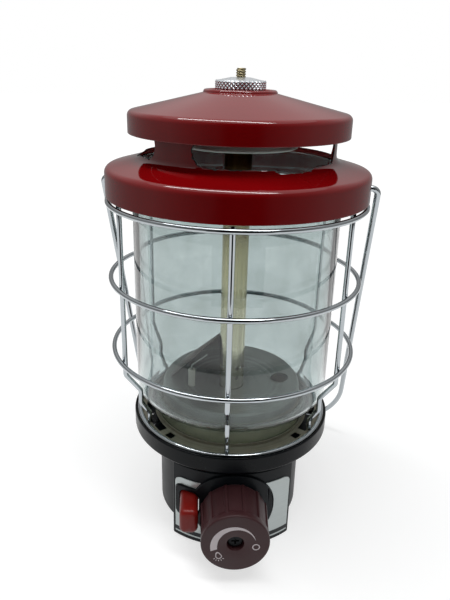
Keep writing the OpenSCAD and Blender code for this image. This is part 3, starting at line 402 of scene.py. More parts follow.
def grown(name, tree, sizes, mesh):
    """The plain mesh that a tree makes from a starting mesh and its named sizes."""
    obj = bpy.data.objects.new(name, mesh)
    bpy.context.scene.collection.objects.link(obj)
    modifier = obj.modifiers.new(name, "NODES")
    modifier.node_group = tree
    for socket in tree.interface.items_tree:
        if socket.in_out == "INPUT" and socket.name in sizes:
            modifier[socket.identifier] = sizes[socket.name]
    return plain(obj)


def end_tree(tree, given, geometry):
    """Ends a tree: instances made real, smooth faces, and the material."""
    real = add(tree, "GeometryNodeRealizeInstances", links={"Geometry": geometry})
    smooth = add(tree, "GeometryNodeSetShadeSmooth", links={"Geometry": real})
    dressed = add(tree, "GeometryNodeSetMaterial", links={"Geometry": smooth, "Material": given["Finish"]})
    add(tree, "NodeGroupOutput", links={0: dressed})


def wire_path(name, points, bends):
    """A mesh of edges through those points in millimetres, with each point's bend radius."""
    mesh = bpy.data.meshes.new(name)
    mesh.from_pydata([Vector(p) * mm for p in points], [(i, i + 1) for i in range(len(points) - 1)], [])
    bend = mesh.attributes.new("bend", "FLOAT", "POINT")
    bend.data.foreach_set("value", [b * mm for b in bends])
    return mesh


def bent_wire(tree, given, count):
    """The starting mesh's edges as a curve, each corner bent to its own radius in that many steps."""
    wire = add(tree, "GeometryNodeMeshToCurve", links={0: given["Geometry"]})
    bend = add(tree, "GeometryNodeInputNamedAttribute", {"Name": "bend"}, data_type="FLOAT")
    return add(tree, "GeometryNodeFilletCurve", {"Count": count}, {"Curve": wire, "Radius": bend}, mode="POLY")


def swept(tree, curve, radius, sides):
    """A round wire along a curve, closed at its ends."""
    section = add(tree, "GeometryNodeCurvePrimitiveCircle", {"Resolution": sides}, {"Radius": radius})
    return add(tree, "GeometryNodeCurveToMesh", {"Fill Caps": True}, {"Curve": curve, "Profile Curve": section})


# Chrome plate: a mirror with a blue-grey tone.
chrome = grained("bright_chrome_plate", ("#a9afb3", "#babfc2"), (0.05, 0.1), 3.0, 0.01, Metallic=1.0)
wire_r = 1.6
ring_r = 81.5
guard_foot_r = 65.7
ring_heights = (225.908, 176.204, 126.5)
guard_foot_z = 76.55
leg_r = guard_foot_r - 2 * wire_r - 0.05
pass_r = globe_r + wire_r + 0.4
upright_r = ring_r - 2 * wire_r - 0.05
leg_top, pass_low, pass_top, upright_low = 83.9, 93.5, 102.5, 116.5
leg_bend = 4
leg = [
    (leg_r, 0, guard_foot_z), (leg_r, 0, leg_top), (pass_r, 0, pass_low), (pass_r, 0, pass_top),
    (upright_r, 0, upright_low), (upright_r, 0, ring_heights[0] + wire_r),
]
front_upright = -90 - 4.75
sizes = {"Wire radius": wire_r * mm, "Ring radius": ring_r * mm, "Foot radius": guard_foot_r * mm, "Uprights": 6,
         "First turn": math.radians(front_upright), "Finish": chrome}
tree, given = new_tree("guard_wires", sizes)
feet = add(tree, "GeometryNodePoints", links={"Count": given["Uprights"]})
number = add(tree, "GeometryNodeInputIndex")
step = add(tree, "ShaderNodeMath", {0: math.tau}, {1: given["Uprights"]}, operation="DIVIDE")
turn = add(tree, "ShaderNodeMath", links={0: number, 1: step, 2: given["First turn"]}, operation="MULTIPLY_ADD")
facing = add(tree, "ShaderNodeCombineXYZ", links={"Z": turn})
uprights = add(tree, "GeometryNodeInstanceOnPoints",
               links={"Points": feet, "Instance": bent_wire(tree, given, 6), "Rotation": facing})
together = add(tree, "GeometryNodeJoinGeometry", links={0: uprights})
for height, radius in [(z, "Ring radius") for z in ring_heights] + [(guard_foot_z, "Foot radius")]:
    ring = add(tree, "GeometryNodeCurvePrimitiveCircle", {"Resolution": 160}, {"Radius": given[radius]})
    lifted = add(tree, "GeometryNodeTransform", {"Translation": (0, 0, height * mm)}, {"Geometry": ring})
    link(tree, together, {0: lifted})
lines = add(tree, "GeometryNodeRealizeInstances", links={0: together})
end_tree(tree, given, swept(tree, lines, given["Wire radius"], 20))
guard = grown("guard_wires", tree, sizes, wire_path("guard_wires", leg, [0] + [leg_bend] * 4 + [0]))
settle(guard, "base", "chrome_wire", "guard_ring_top", "guard_ring_upper", "guard_ring_lower", "guard_foot_ring",
       *["guard_upright_%d" % (i + 1) for i in range(sizes["Uprights"])])


# Ventilator
# A deep-drawn steel pressing in red vitreous enamel: skirt, shoulder, and a neck with three windows.
# The enamel is glossy and a little wavy, chipped at the windows' edges; inside is only the ground coat.
skirt_r = 82.5
skirt_low = 229.308
neck_r = 60.0
neck_top = 279.5
sheet = 0.9
sill = 253.41
window_top = 269.11
pillar_half = 13.5
flare = 8.0
pillar_turn = -41.5
shoulder_z, shoulder_bend = 246.277, 4
neck_z, neck_bend = 252.306, 5.5
side = rounded([(skirt_r, skirt_low, 0), (skirt_r, shoulder_z, shoulder_bend), (neck_r, neck_z, neck_bend),
                (neck_r, neck_top, 0)], 10)
fine = [side[0]]
for a, b in zip(side, side[1:]):
    parts = max(1, round((b - a).length / 1.6))
    fine += [a.lerp(b, (k + 1) / parts) for k in range(parts)]
lengths = [0.0]
for a, b in zip(fine, fine[1:]):
    lengths.append(lengths[-1] + (b - a).length)


def along(s):
    """The point at that length along the ventilator's side."""
    i = max(k for k in range(len(fine) - 1) if lengths[k] <= s)
    return fine[i].lerp(fine[i + 1], (s - lengths[i]) / (lengths[i + 1] - lengths[i]))


def first_length(test):
    """The first length along the side where the point passes the test."""
    return next(s for s, p in zip(lengths, fine) if test(p))


fixed_r, notch_r = 66, 63.2
s_fixed = first_length(lambda p: p.x <= fixed_r)
s_notch = first_length(lambda p: p.x <= notch_r)
s_sill = first_length(lambda p: p.y >= sill)
s_head = first_length(lambda p: p.y >= window_top)
s_end = lengths[-1]
chipped = ((-3.5, 0.0), (-2.9, 0.5), (-1.6, 0.62), (-0.6, 0.95), (2.0, 1.0), (6.0, 0.9), (9.5, 0.97),
           (13.0, 0.85), (16.0, 0.7), (18.0, 0.62), (20.0, 0.35), (22.5, 0.0))


def notch(turn):
    """How deep the notch in a window's sill is, from 0 to 1, at an angle from the window's middle."""
    for (a, low), (b, high) in zip(chipped, chipped[1:]):
        if a <= turn <= b:
            return low + (high - low) * (turn - a) / (b - a)
    return 0.0


def half_width(s):
    """Half a pillar's width in degrees, wider where it runs into the sill and the head of a window."""
    near = min(abs(s - s_sill), abs(s_head - s), flare)
    return pillar_half + math.degrees((flare - math.sqrt(flare ** 2 - (flare - near) ** 2)) / neck_r)


def at(turn, s):
    """Place in metres of an angle from the front and a length along the side."""
    p = along(s) * mm
    a = math.radians(turn)
    return Vector((p.x * math.sin(a), -p.x * math.cos(a), p.y))


across = [k / 8 - 1 for k in range(17)]
foot_half = pillar_half + math.degrees(flare / neck_r)
window_half = 60 - foot_half
between = [window_half * (k / 60 - 1) for k in range(1, 120)]
rows_low = [s for s in lengths if s <= s_fixed]
shape = bmesh.new()
worn = shape.verts.layers.float.new("edge")


def patch(columns, ring=False):
    """Faces over columns of (place, wear)."""
    grid = [[shape.verts.new(place) for place, wear in column] for column in columns]
    for verts, column in zip(grid, columns):
        for vert, (place, wear) in zip(verts, column):
            vert[worn] = wear
    skin(shape, grid, ring, hoops=False)


low_columns = []
high_columns = []
upper_rows = 9
head_rows = 5
wear = 3.2
rows_high = [s_head + (s_end - s_head) * k / (head_rows - 1) for k in range(head_rows)]
for third in range(3):
    middle = pillar_turn + 120 * third
    turns = [(middle + u * foot_half, None) for u in across] + [(middle + 60 + w, w) for w in between]
    for turn, inside in turns:
        top = s_sill if inside is None else s_sill - notch(inside) * (s_sill - s_notch)
        column = [(at(turn, s), 0.0) for s in rows_low]
        for k in range(1, upper_rows):
            s = s_fixed + (top - s_fixed) * k / (upper_rows - 1)
            column.append((at(turn, s), 0.0 if inside is None else max(0.0, 1 - (top - s) / wear)))
        low_columns.append(column)
        high_columns.append([(at(turn, s), 0.0) for s in rows_high])
patch(low_columns, True)
patch(high_columns, True)
pillar_rows = 19
for third in range(3):
    columns = []
    for u in across:
        column = []
        for k in range(pillar_rows):
            s = s_sill + (s_head - s_sill) * (0.5 - 0.5 * math.cos(math.pi * k / (pillar_rows - 1)))
            turn = pillar_turn + 120 * third + u * half_width(s)
            column.append((at(turn, s), max(0.0, 1 - (1 - abs(u)) * 6)))
        columns.append(column)
    patch(columns)
bmesh.ops.remove_doubles(shape, verts=shape.verts, dist=0.01 * mm)
bmesh.ops.recalc_face_normals(shape, faces=shape.faces)
shape.faces.ensure_lookup_table()
probe = max(shape.faces, key=lambda f: f.calc_center_median().xy.length)
if probe.normal.dot(Vector((*probe.calc_center_median().xy, 0))) < 0:
    bmesh.ops.reverse_faces(shape, faces=shape.faces)
mesh = bpy.data.meshes.new("ventilator_shell")
shape.to_mesh(mesh)
shape.free()

# Fired enamel: deep red under a hard gloss, with a little orange peel and dark chips.
enamel, tree, shader, place = new_finish("red_vitreous_enamel", IOR=1.52)
cloud_mm = 33.3
chip_mm = 2.38
peel_mm = 6.25
drift = add(tree, "ShaderNodeTexNoise", {"Scale": 1000 / cloud_mm, "Detail": 2}, {"Vector": place})
red = add(tree, "ShaderNodeMix", {6: linear("#6e0407"), 7: linear("#7e0509")}, {0: drift}, data_type="RGBA")
edge = add(tree, "ShaderNodeAttribute", attribute_name="edge").outputs["Fac"]
flaws = add(tree, "ShaderNodeTexNoise", {"Scale": 1000 / chip_mm, "Detail": 4}, {"Vector": place})
chance = add(tree, "ShaderNodeMath", links={0: edge, 1: flaws}, operation="MULTIPLY")
chip = add(tree, "ShaderNodeMapRange", {"From Min": 0.44, "From Max": 0.47}, {"Value": chance})
bare = add(tree, "ShaderNodeMix", {7: linear("#2b2523")}, {0: chip, 6: red.outputs[2]}, data_type="RGBA")
rough = add(tree, "ShaderNodeMapRange", {"To Min": 0.05, "To Max": 0.55}, {"Value": chip})
peel = add(tree, "ShaderNodeTexNoise", {"Scale": 1000 / peel_mm, "Detail": 1}, {"Vector": place})
deep = add(tree, "ShaderNodeMath", {1: -2.0}, {0: chip, 2: peel}, operation="MULTIPLY_ADD")
bump = add(tree, "ShaderNodeBump", {"Strength": 0.12, "Distance": 0.12 * mm}, {"Height": deep})
link(tree, shader, {"Base Color": bare.outputs[2], "Roughness": rough, "Normal": bump})
# The ground coat alone: matt brown-red.
ground_coat = grained("scorched_ground_coat", ("#5c0f10", "#741816"), (0.6, 0.75), 2.0, 0.05,
                      IOR=1.52, Specular_IOR_Level=0.05)
ventilator = new_piece("ventilator_shell", mesh, enamel)
mesh.materials.append(ground_coat)
wall = ventilator.modifiers.new("sheet", "SOLIDIFY")
wall.thickness = sheet * mm
wall.offset = -1
wall.use_even_offset = True
wall.material_offset = 1
settle(soft_edges(ventilator, 0.3, 55), "base", "red_enamel", "ventilator")


# Cap
# A spun steel cone in the same enamel, with a bead round its flat and a straight rim.
# It sits on the ventilator's neck, over a pale aluminium baffle that spreads the heat.
cap_r = 67.7
cap_low = 266.108
flat_z = 289.7425
bead_r = 20.8
bead = 1.6
slope = math.tan(math.radians(13.5))
cone_r, cone_z = 65.017, 279.511
cone_foot = cone_z - (cap_r - cone_r) * slope
crease = 3.5
hole = 3.4
over = [Vector((bead_r + bead * math.cos(a), flat_z + 1.2 * bead * math.sin(a)))
        for a in [math.pi * k / 12 for k in range(1, 12)]]
cap = turned("cap", rounded([
    (cap_r - sheet, cap_low, 0.4), (cap_r, cap_low, 0.4), (cap_r, cone_foot, crease),
    (bead_r + bead, flat_z, 0.5), *[(*p, 0) for p in over], (bead_r - bead, flat_z, 0.4),
    (hole, flat_z, 0), (hole, flat_z - sheet, 0),
    (bead_r + bead - sheet, flat_z - sheet, 1), (cap_r - sheet, cone_foot - sheet * 0.8, crease - sheet),
], 8), enamel)
cap.data.materials.append(ground_coat)
for face in cap.data.polygons:
    if face.normal.z < -0.2 and face.center.z > (cap_low + 1) * mm:
        face.material_index = 1
settle(cap, "base", "red_enamel", "ventilator_cap")

baffle_top = flat_z - sheet - 0.05
baffle_r = 36.5
baffle_low = baffle_top - 30
crown_r = 11
gauge = 0.8
roll = 0.9
rim = [(baffle_r - roll + roll * math.cos(a), baffle_low + roll + roll * math.sin(a), 0)
       for a in [math.radians(40 - 20 * k) for k in range(14)]]
# Spun aluminium: pale and satin, with faint rings.
baffle_satin = turned_sheet("satin_aluminium", ("#d6d8d2", "#e6e8e2"), (0.4, 0.55), 2.0, 0.3)
baffle = turned("baffle", rounded([
    (hole, baffle_top - gauge, 0), (hole, baffle_top, 0), (crown_r, baffle_top, 1.5), *rim,
    (baffle_r - 2.6, baffle_low + 2.2, 0), (crown_r - gauge, baffle_top - gauge, 1.2),
], 6), baffle_satin)
settle(baffle, "base", "baffle_metal", "cap_baffle")


# Stud
# A yellow-passivated steel stud in the tube's top, cut with a coarse thread that shows above the nut.
# The thread is a helix round a plain core.
stud_r = 3.0
core_r = 2.45
stud_top = 303.58
stud_low = 254.12
thread = 13.0
# Passivated plate: dull yellow, paler in patches.
stud_yellow = grained("yellow_passivated_steel", ("#8d8160", "#b9ae8e"), (0.25, 0.4), 0.8, 0.02, Metallic=1.0)
sizes = {"Core radius": core_r * mm, "Crest": (stud_r - core_r) * mm, "Turns": 9.0, "Length": thread * mm,
         "Foot": (stud_top - thread - 0.6) * mm, "Finish": stud_yellow}
tree, given = new_tree("stud_thread", sizes)
helix = add(tree, "GeometryNodeCurveSpiral", {"Resolution": 40},
            {"Rotations": given["Turns"], "Start Radius": given["Core radius"],
             "End Radius": given["Core radius"], "Height": given["Length"]})
foot = add(tree, "ShaderNodeCombineXYZ", links={"Z": given["Foot"]})
raised = add(tree, "GeometryNodeTransform", links={"Geometry": helix, "Translation": foot})
ridge = swept(tree, raised, given["Crest"], 6)
whole = add(tree, "GeometryNodeJoinGeometry", links={0: ridge})
link(tree, whole, {0: given["Geometry"]})
end_tree(tree, given, whole)
core = turned("stud_core",
              rounded([(0, stud_low, 0), (core_r, stud_low, 0), (core_r, stud_top, 0.5), (0, stud_top, 0)]),
              stud_yellow, 48)
stud = grown("stud", tree, sizes, core.data)
bpy.data.objects.remove(core)
settle(stud, "base", "stud_steel", "top_stud")


# Thumb nut
# A zinc nut in bright nickel, with a bevelled top and a diamond knurl rolled into its rim.
# The knurl is rows of small pyramids, each half a step round from the next, drawn coarse enough to show.
nut_r = 15.3
nut_z = 291.3825
nut_h = 5.3
boss_r = 9.5
boss_z = 289.79
tooth = 0.6
# Nickel plate: pale and bright on the tips, with painted shade darkening the roots between the teeth.
nut_nickel, tree, shader, place = new_finish("bright_nickel", Metallic=1.0)
mix = speckle(tree, shader, place, ("#d2d7dc", "#e6e9ec"), (0.28, 0.36), 1.5, 0.01)
radius = from_axis(tree, place)
deep = add(tree, "ShaderNodeMapRange", {"From Min": (nut_r - 0.35) * mm, "From Max": (nut_r - tooth) * mm},
           {"Value": radius})
split = add(tree, "ShaderNodeSeparateXYZ", links={0: place})
low = add(tree, "ShaderNodeMath", {1: (nut_z + nut_h - 0.55) * mm}, {0: split.outputs["Z"]},
          operation="LESS_THAN")
outer = add(tree, "ShaderNodeMath", {1: (nut_r - tooth - 0.25) * mm}, {0: radius}, operation="GREATER_THAN")
rim_only = add(tree, "ShaderNodeMath", links={0: low, 1: outer}, operation="MULTIPLY")
# Painted shade: near-black at the roots of the teeth on the rim.
root_shade = add(tree, "ShaderNodeMath", links={0: deep, 1: rim_only}, operation="MULTIPLY")
root_shaded = add(tree, "ShaderNodeMix", {7: linear("#101114")}, {0: root_shade, 6: mix.outputs[2]}, data_type="RGBA")
link(tree, shader, {"Base Color": root_shaded.outputs[2]})
body = turned("nut_core", rounded([
    (stud_r + 0.06, boss_z, 0), (boss_r, boss_z, 0.2), (boss_r, nut_z, 0.2), (nut_r - tooth - 0.4, nut_z, 0.2),
    (nut_r - tooth, nut_z + 0.5, 0.1), (nut_r - tooth, nut_z + nut_h - 0.5, 0.1),
    (nut_r - tooth - 0.7, nut_z + nut_h, 0.2), (6.0, nut_z + nut_h + 1.7, 0.8),
    (stud_r + 0.7, nut_z + nut_h + 1.8, 0.2), (stud_r + 0.06, nut_z + nut_h + 1.2, 0),
], 4), nut_nickel, 128)
sizes = {"Rim radius": (nut_r - tooth) * mm, "Round": 36, "Rows": 4, "First row": (nut_z + 0.95) * mm,
         "Row step": 1.15 * mm, "Tooth": tooth * mm, "Tooth width": 1.25 * mm, "Finish": nut_nickel}
tree, given = new_tree("diamond_knurl", sizes)
total = add(tree, "ShaderNodeMath", links={0: given["Round"], 1: given["Rows"]}, operation="MULTIPLY")
spots = add(tree, "GeometryNodePoints", links={"Count": total})
number = add(tree, "GeometryNodeInputIndex")
place_in = add(tree, "ShaderNodeMath", links={0: number, 1: given["Round"]}, operation="DIVIDE")
row = add(tree, "ShaderNodeMath", links={0: place_in}, operation="FLOOR")
share = add(tree, "ShaderNodeMath", links={0: place_in}, operation="FRACT")
odd = add(tree, "ShaderNodeMath", {1: 2.0}, {0: row}, operation="MODULO")
half_step = add(tree, "ShaderNodeMath", {0: 0.5}, {1: given["Round"]}, operation="DIVIDE")
shift = add(tree, "ShaderNodeMath", links={0: odd, 1: half_step, 2: share}, operation="MULTIPLY_ADD")
turn = add(tree, "ShaderNodeMath", {1: math.tau}, {0: shift}, operation="MULTIPLY")
lift = add(tree, "ShaderNodeMath", links={0: row, 1: given["Row step"], 2: given["First row"]},
           operation="MULTIPLY_ADD")
out = add(tree, "ShaderNodeCombineXYZ", links={"X": given["Rim radius"], "Z": lift})
spot = add(tree, "ShaderNodeVectorRotate", links={"Vector": out, "Angle": turn}, rotation_type="Z_AXIS")
moved = add(tree, "GeometryNodeSetPosition", links={"Geometry": spots, "Position": spot})
pyramid = add(tree, "GeometryNodeMeshCone", {"Vertices": 4, "Radius Top": 0.25 * mm},
              {"Radius Bottom": given["Tooth width"], "Depth": given["Tooth"]})
lying = add(tree, "GeometryNodeTransform", {"Rotation": (0, math.pi / 2, 0)}, {"Geometry": pyramid})
facing = add(tree, "ShaderNodeCombineXYZ", links={"Z": turn})
teeth = add(tree, "GeometryNodeInstanceOnPoints", links={"Points": moved, "Instance": lying, "Rotation": facing})
whole = add(tree, "GeometryNodeJoinGeometry", links={0: teeth})
link(tree, whole, {0: given["Geometry"]})
end_tree(tree, given, whole)
nut = grown("knurled_nut", tree, sizes, body.data)
bpy.data.objects.remove(body)
nut.data.set_sharp_from_angle(angle=math.radians(28))
settle(nut, "nut", "zinc_nut", "thumb_nut")


# Bail
# One chromed wire, bent square at its two pins and round at its bow, sprung into the holes in the skirt.
# Let down behind, its bow stays just above the table; the pivots are turned a little about the axis.
bail_r = 2.0
bail_x = 87.5
bail_length = 253.0
bail_low = 3.0
pivot_z = 236.408
pin_end = 79.0
turned_by = Matrix.Rotation(math.radians(-9), 3, "Z")
rest = math.acos((pivot_z - bail_low) / bail_length)
down = Vector((0, math.sin(rest), -math.cos(rest))) * bail_length
route = []
for x, lowered in ((-pin_end, 0), (-bail_x, 0), (-bail_x, 1), (bail_x, 1), (bail_x, 0), (pin_end, 0)):
    route.append(turned_by @ (Vector((x, 0, pivot_z)) + down * lowered))
sizes = {"Wire radius": bail_r * mm, "Finish": chrome}
tree, given = new_tree("bail_wire", sizes)
end_tree(tree, given, swept(tree, bent_wire(tree, given, 16), given["Wire radius"], 24))
pin_bend = 4.6
bow_bend = 50
bends = [0, pin_bend, bow_bend, bow_bend, pin_bend, 0]
bail = grown("bail_wire", tree, sizes, wire_path("bail_wire", route, bends))
settle(bail, "bail", "chrome_wire", "bail")


# Label and bezel
# A silver foil label is stuck on the boss, with one black stripe along its foot and no print.
# The black bezel round the knob and the button is moulded ABS, snapped in over the label's cut-out.

# Brushed foil: silver-grey, with fine lines across it.
foil, tree, shader, place = new_finish("silver_foil", Metallic=0.55)
split = add(tree, "ShaderNodeSeparateXYZ", links={0: place})
drawn = add(tree, "ShaderNodeMapping", {"Scale": (0.03, 0.03, 1)}, {"Vector": place})
brush_mm = 0.625
brushed = add(tree, "ShaderNodeTexNoise", {"Scale": 1000 / brush_mm, "Detail": 3}, {"Vector": drawn})
silver = add(tree, "ShaderNodeMix", {6: linear("#b3bbbb"), 7: linear("#c6cdcc")}, {0: brushed}, data_type="RGBA")
stripe_low, stripe_top, blur = 5.2, 8.6, 0.2
edges = [add(tree, "ShaderNodeMapRange", {"From Min": z * mm, "From Max": (z + blur) * mm},
             {"Value": split.outputs["Z"]}) for z in (stripe_low, stripe_top)]
stripe = add(tree, "ShaderNodeMath", links={0: edges[0], 1: edges[1]}, operation="SUBTRACT")
printed = add(tree, "ShaderNodeMix", {7: linear("#15191c")}, {0: stripe, 6: silver.outputs[2]},
              data_type="RGBA")
rough = add(tree, "ShaderNodeMapRange", {"To Min": 0.3, "To Max": 0.42}, {"Value": brushed})
link(tree, shader, {"Base Color": printed.outputs[2], "Roughness": rough})
dress("panel_label", "label", 0.12, foil, "label_silver")
dress("control_bezel", "bezel", 0.5, black_abs, "bezel_plastic")


# Knob
# A maroon ABS moulding on the valve stem: ribs with sunk panels, a plain front flange, a counterbore.
# The dial's marks are pale ink, printed on the face: a wedge from off to full, a ring for off, a small lamp.
knob_z = 33.0
knob_r = 21.4
draft = 1.0
knob_rear = 65.35
knob_front = 94.15
ribs = 12
rib_half = 2.9
panel_depth = 0.9
flange = 4.6
bore_r = 5.4
bore_depth = 5.0
stem_r = 3.1
stem_end = 20
screw_r = 1.7
nose = 1.0
# Moulded ABS: dark brown-red, with a matt grain.
maroon = grained("maroon_abs", ("#311619", "#3d1d20"), (0.42, 0.54), 0.8, 0.04,
                 IOR=1.54, Specular_IOR_Level=0.3)
steps_round = (0, 1.9, 2.6, 3.0, 3.4, 4.0, 5.2, 8, 11.5, 15)
turns = sorted({(360 / ribs) * (i + 0.5) + s * a for i in range(ribs) for a in steps_round for s in (-1, 1)})
turns = [t for i, t in enumerate(turns) if i == 0 or t - turns[i - 1] > 0.01]
turns = [t for t in turns if 0 <= t < 359.99]


def smooth_step(low, high, value):
    """0 below low, 1 above high, and a soft slope between them."""
    t = min(1.0, max(0.0, (value - low) / (high - low)))
    return t * t * (3 - 2 * t)


def panel(turn):
    """1 in the sunk panels and 0 on the ribs."""
    step = 360 / ribs
    return smooth_step(rib_half - 0.5, rib_half + 0.6, abs((turn % step) - step / 2))


panel_end = knob_front - flange
rear_r = knob_r + draft
section_line = [(stem_r, knob_rear, 0.0), (12.0, knob_rear, 0.0), (rear_r - 1.1, knob_rear, 0.0)]
section_line += [(rear_r - 0.35, knob_rear + 0.15, 1.0), (rear_r - 0.1, knob_rear + 0.6, 1.0)]
section_line += [(rear_r - draft * k / 8, knob_rear + 2 + (panel_end - knob_rear - 4.2) * k / 8, 1.0)
                 for k in range(9)]
section_line += [(knob_r, panel_end - 1.4 + 1.4 * k / 6, 1 - smooth_step(0, 1, k / 6)) for k in range(7)]
section_line += [(knob_r, knob_front - 1.4, 0.0)]
section_line += [(knob_r - nose + nose * math.cos(a), knob_front - nose + nose * math.sin(a), 0.0)
                 for a in [math.radians(9 * k) for k in range(11)]]
section_line += [(14.0, knob_front, 0.0), (bore_r + 0.5, knob_front, 0.0), (bore_r + 0.1, knob_front - 0.15, 0.0)]
section_line += [(bore_r, knob_front - 0.5, 0.0), (bore_r, knob_front - bore_depth, 0.0)]
section_line += [(screw_r, knob_front - bore_depth, 0.0), (screw_r, knob_rear + stem_end, 0.0)]
section_line += [(stem_r, knob_rear + stem_end, 0.0)]
shape = bmesh.new()
grid = []
for turn in turns:
    a = math.radians(turn)
    line = []
    for radius, y, share in section_line:
        r = radius - panel_depth * panel(turn) * share
        line.append(shape.verts.new((r * math.sin(a) * mm, -y * mm, (knob_z + r * math.cos(a)) * mm)))
    grid.append(line)
skin(shape, grid)
settle(finished("knob", shape, maroon), "knob", "knob_plastic", "control_knob")

# Oxide-blackened steel: dark, with a dull metal shine.
blackened = grained("blackened_steel", ("#101214", "#1e2022"), (0.3, 0.42), 0.5, 0.02, Metallic=0.9)
dress("knob_screw", "dial_screw", 0.12, blackened, "screw_steel", "knob")

# Printing ink: flat and pale.
ink = grained("pale_ink", ("#d8ccd0", "#e6dee0"), (0.5, 0.62), 0.6, 0.01, IOR=1.5)
mark_t = 0.06
shape = bmesh.new()


def strip(pairs, close=False):
    """A printed strip on the dial between pairs of (across, up) points in millimetres."""
    rows = []
    for start, end in pairs:
        corners = ((start, mark_t), (end, mark_t), (end, -mark_t), (start, -mark_t))
        rows.append([shape.verts.new((p.x * mm, -(knob_front + lift) * mm, (knob_z + p.y) * mm))
                     for p, lift in corners])
    skin(shape, rows, close)
    if not close:
        shape.faces.new(rows[0])
        shape.faces.new(rows[-1])


def polar(r, degrees, centre=(0, 0)):
    """A point of the dial at a radius and an angle from the right, round a centre."""
    a = math.radians(degrees)
    return Vector(centre) + Vector((math.cos(a), math.sin(a))) * r


wedge = ((200, 11.8, 16.1), (180, 11.0, 15.3), (150, 10.5, 14.3), (120, 10.4, 13.5), (90, 10.7, 12.9),
         (60, 11.3, 12.7), (35, 11.9, 12.6), (10, 12.5, 12.65))
dense = []
for (a0, low0, high0), (a1, low1, high1) in zip(wedge, wedge[1:]):
    for k in range(8):
        t = k / 8
        angle = a0 + (a1 - a0) * t
        dense.append((polar(low0 + (low1 - low0) * t, angle), polar(high0 + (high1 - high0) * t, angle)))
strip(dense)
off_ring, off_in, off_out = (12.8, -2.7), 1.75, 2.4
strip([(polar(off_in, 10 * k, off_ring), polar(off_out, 10 * k, off_ring)) for k in range(36)], True)
lamp = (-10.1, -9.7)
drop = []
for k in range(36):
    angle = 10 * k
    swell = 1 + 0.75 * max(0.0, math.cos(math.radians(angle - 110))) ** 6
    drop.append((polar(1.5 * swell, angle, lamp), polar(2.05 * swell, angle, lamp)))
strip(drop, True)
for angle in (215, 243, 271, 299, 327):
    aside = polar(0.25, angle + 90)
    ends = [polar(r, angle, lamp) for r in (2.9, 3.9)]
    strip([(end - aside, end + aside) for end in ends])
settle(finished("dial_marks", shape, ink), "knob", "knob_plastic")


# Igniter button
# A red ABS push button that slides in the bezel's slot and drives the piezo unit behind it.
# It is a tall rounded bar with a full round front edge and a slightly crowned face.
button_x = -29.0
button_w = 12.0
button_h = 18.0
button_corner = 4.0
button_front = 77.0
button_rear = 43.62
flange_front = 45.62
# Moulded ABS: plain red, with a soft sheen.
red_abs = grained("red_abs", ("#74140f", "#851b15"), (0.3, 0.4), 0.9, 0.02, IOR=1.54, Specular_IOR_Level=0.25)


def bar_outline(inset):
    """Outline of the bar, seen from the front, drawn in by an inset in millimetres."""
    w, h = button_w / 2 - inset, button_h / 2 - inset
    r = max(0.4, button_corner - inset)
    points = []
    for quarter, (sx, sy) in enumerate(((1, 1), (-1, 1), (-1, -1), (1, -1))):
        for k in range(9):
            a = math.radians(90 * quarter + 90 * k / 8)
            points.append((button_x + sx * (w - r) + r * math.cos(a), knob_z + sy * (h - r) + r * math.sin(a)))
    return points


edge_r = 3.2
crown = 0.35
levels = [(-0.75, button_rear), (-0.75, flange_front), (0, flange_front), (0, 60),
          (0, button_front - crown - edge_r)]
levels += [(edge_r * (1 - math.cos(a)), button_front - crown - edge_r * (1 - math.sin(a)))
           for a in [math.radians(10 * k) for k in range(1, 10)]]
levels += [(edge_r + 1.2, button_front - crown * 0.3), (edge_r + 2.3, button_front)]
shape = bmesh.new()
loops = [[shape.verts.new((x * mm, -y * mm, z * mm)) for x, z in bar_outline(inset)] for inset, y in levels]
skin(shape, loops, ring=False)
shape.faces.new(loops[0][::-1])
shape.faces.new(loops[-1])
settle(finished("push_button", shape, red_abs), "button", "button_plastic", "igniter_button")


# Studio
# A white sweep under soft light from above, inside a round card that is dark in front and paler high up behind.
# That card, and the black cloth behind the camera, show only in the gloss of enamel, chrome and glass.
def seen_straight(tree):
    """1 for the rays of the camera, of gloss and of glass, and 0 for those that only carry light."""
    path = add(tree, "ShaderNodeLightPath")
    first = add(tree, "ShaderNodeMath", links={0: path.outputs["Is Camera Ray"], 1: path.outputs["Is Glossy Ray"]},
                operation="MAXIMUM")
    return add(tree, "ShaderNodeMath", links={0: first, 1: path.outputs["Is Transmission Ray"]},
               operation="MAXIMUM")


def upright(name, radius, height, turns, ring, material):
    """A round screen on the floor through those angles from the front."""
    shape = bmesh.new()
    sides = [(radius * math.sin(a), -radius * math.cos(a)) for a in turns]
    skin(shape, [[shape.verts.new((x, y, z)) for z in (0.0, height)] for x, y in sides], ring, hoops=False)
    return finished(name, shape, material)


scene = bpy.context.scene
scene.view_settings.view_transform = "Standard"
world = bpy.data.worlds.new("studio")
scene.world = world
world.use_nodes = True
tree = world.node_tree
level = add(tree, "ShaderNodeMapRange", {"To Min": 0.3, "To Max": 1.0}, {"Value": seen_straight(tree)})
sky = tree.nodes["Background"]
sky.inputs["Color"].default_value = (1, 1, 1, 1)
link(tree, sky, {"Strength": level})

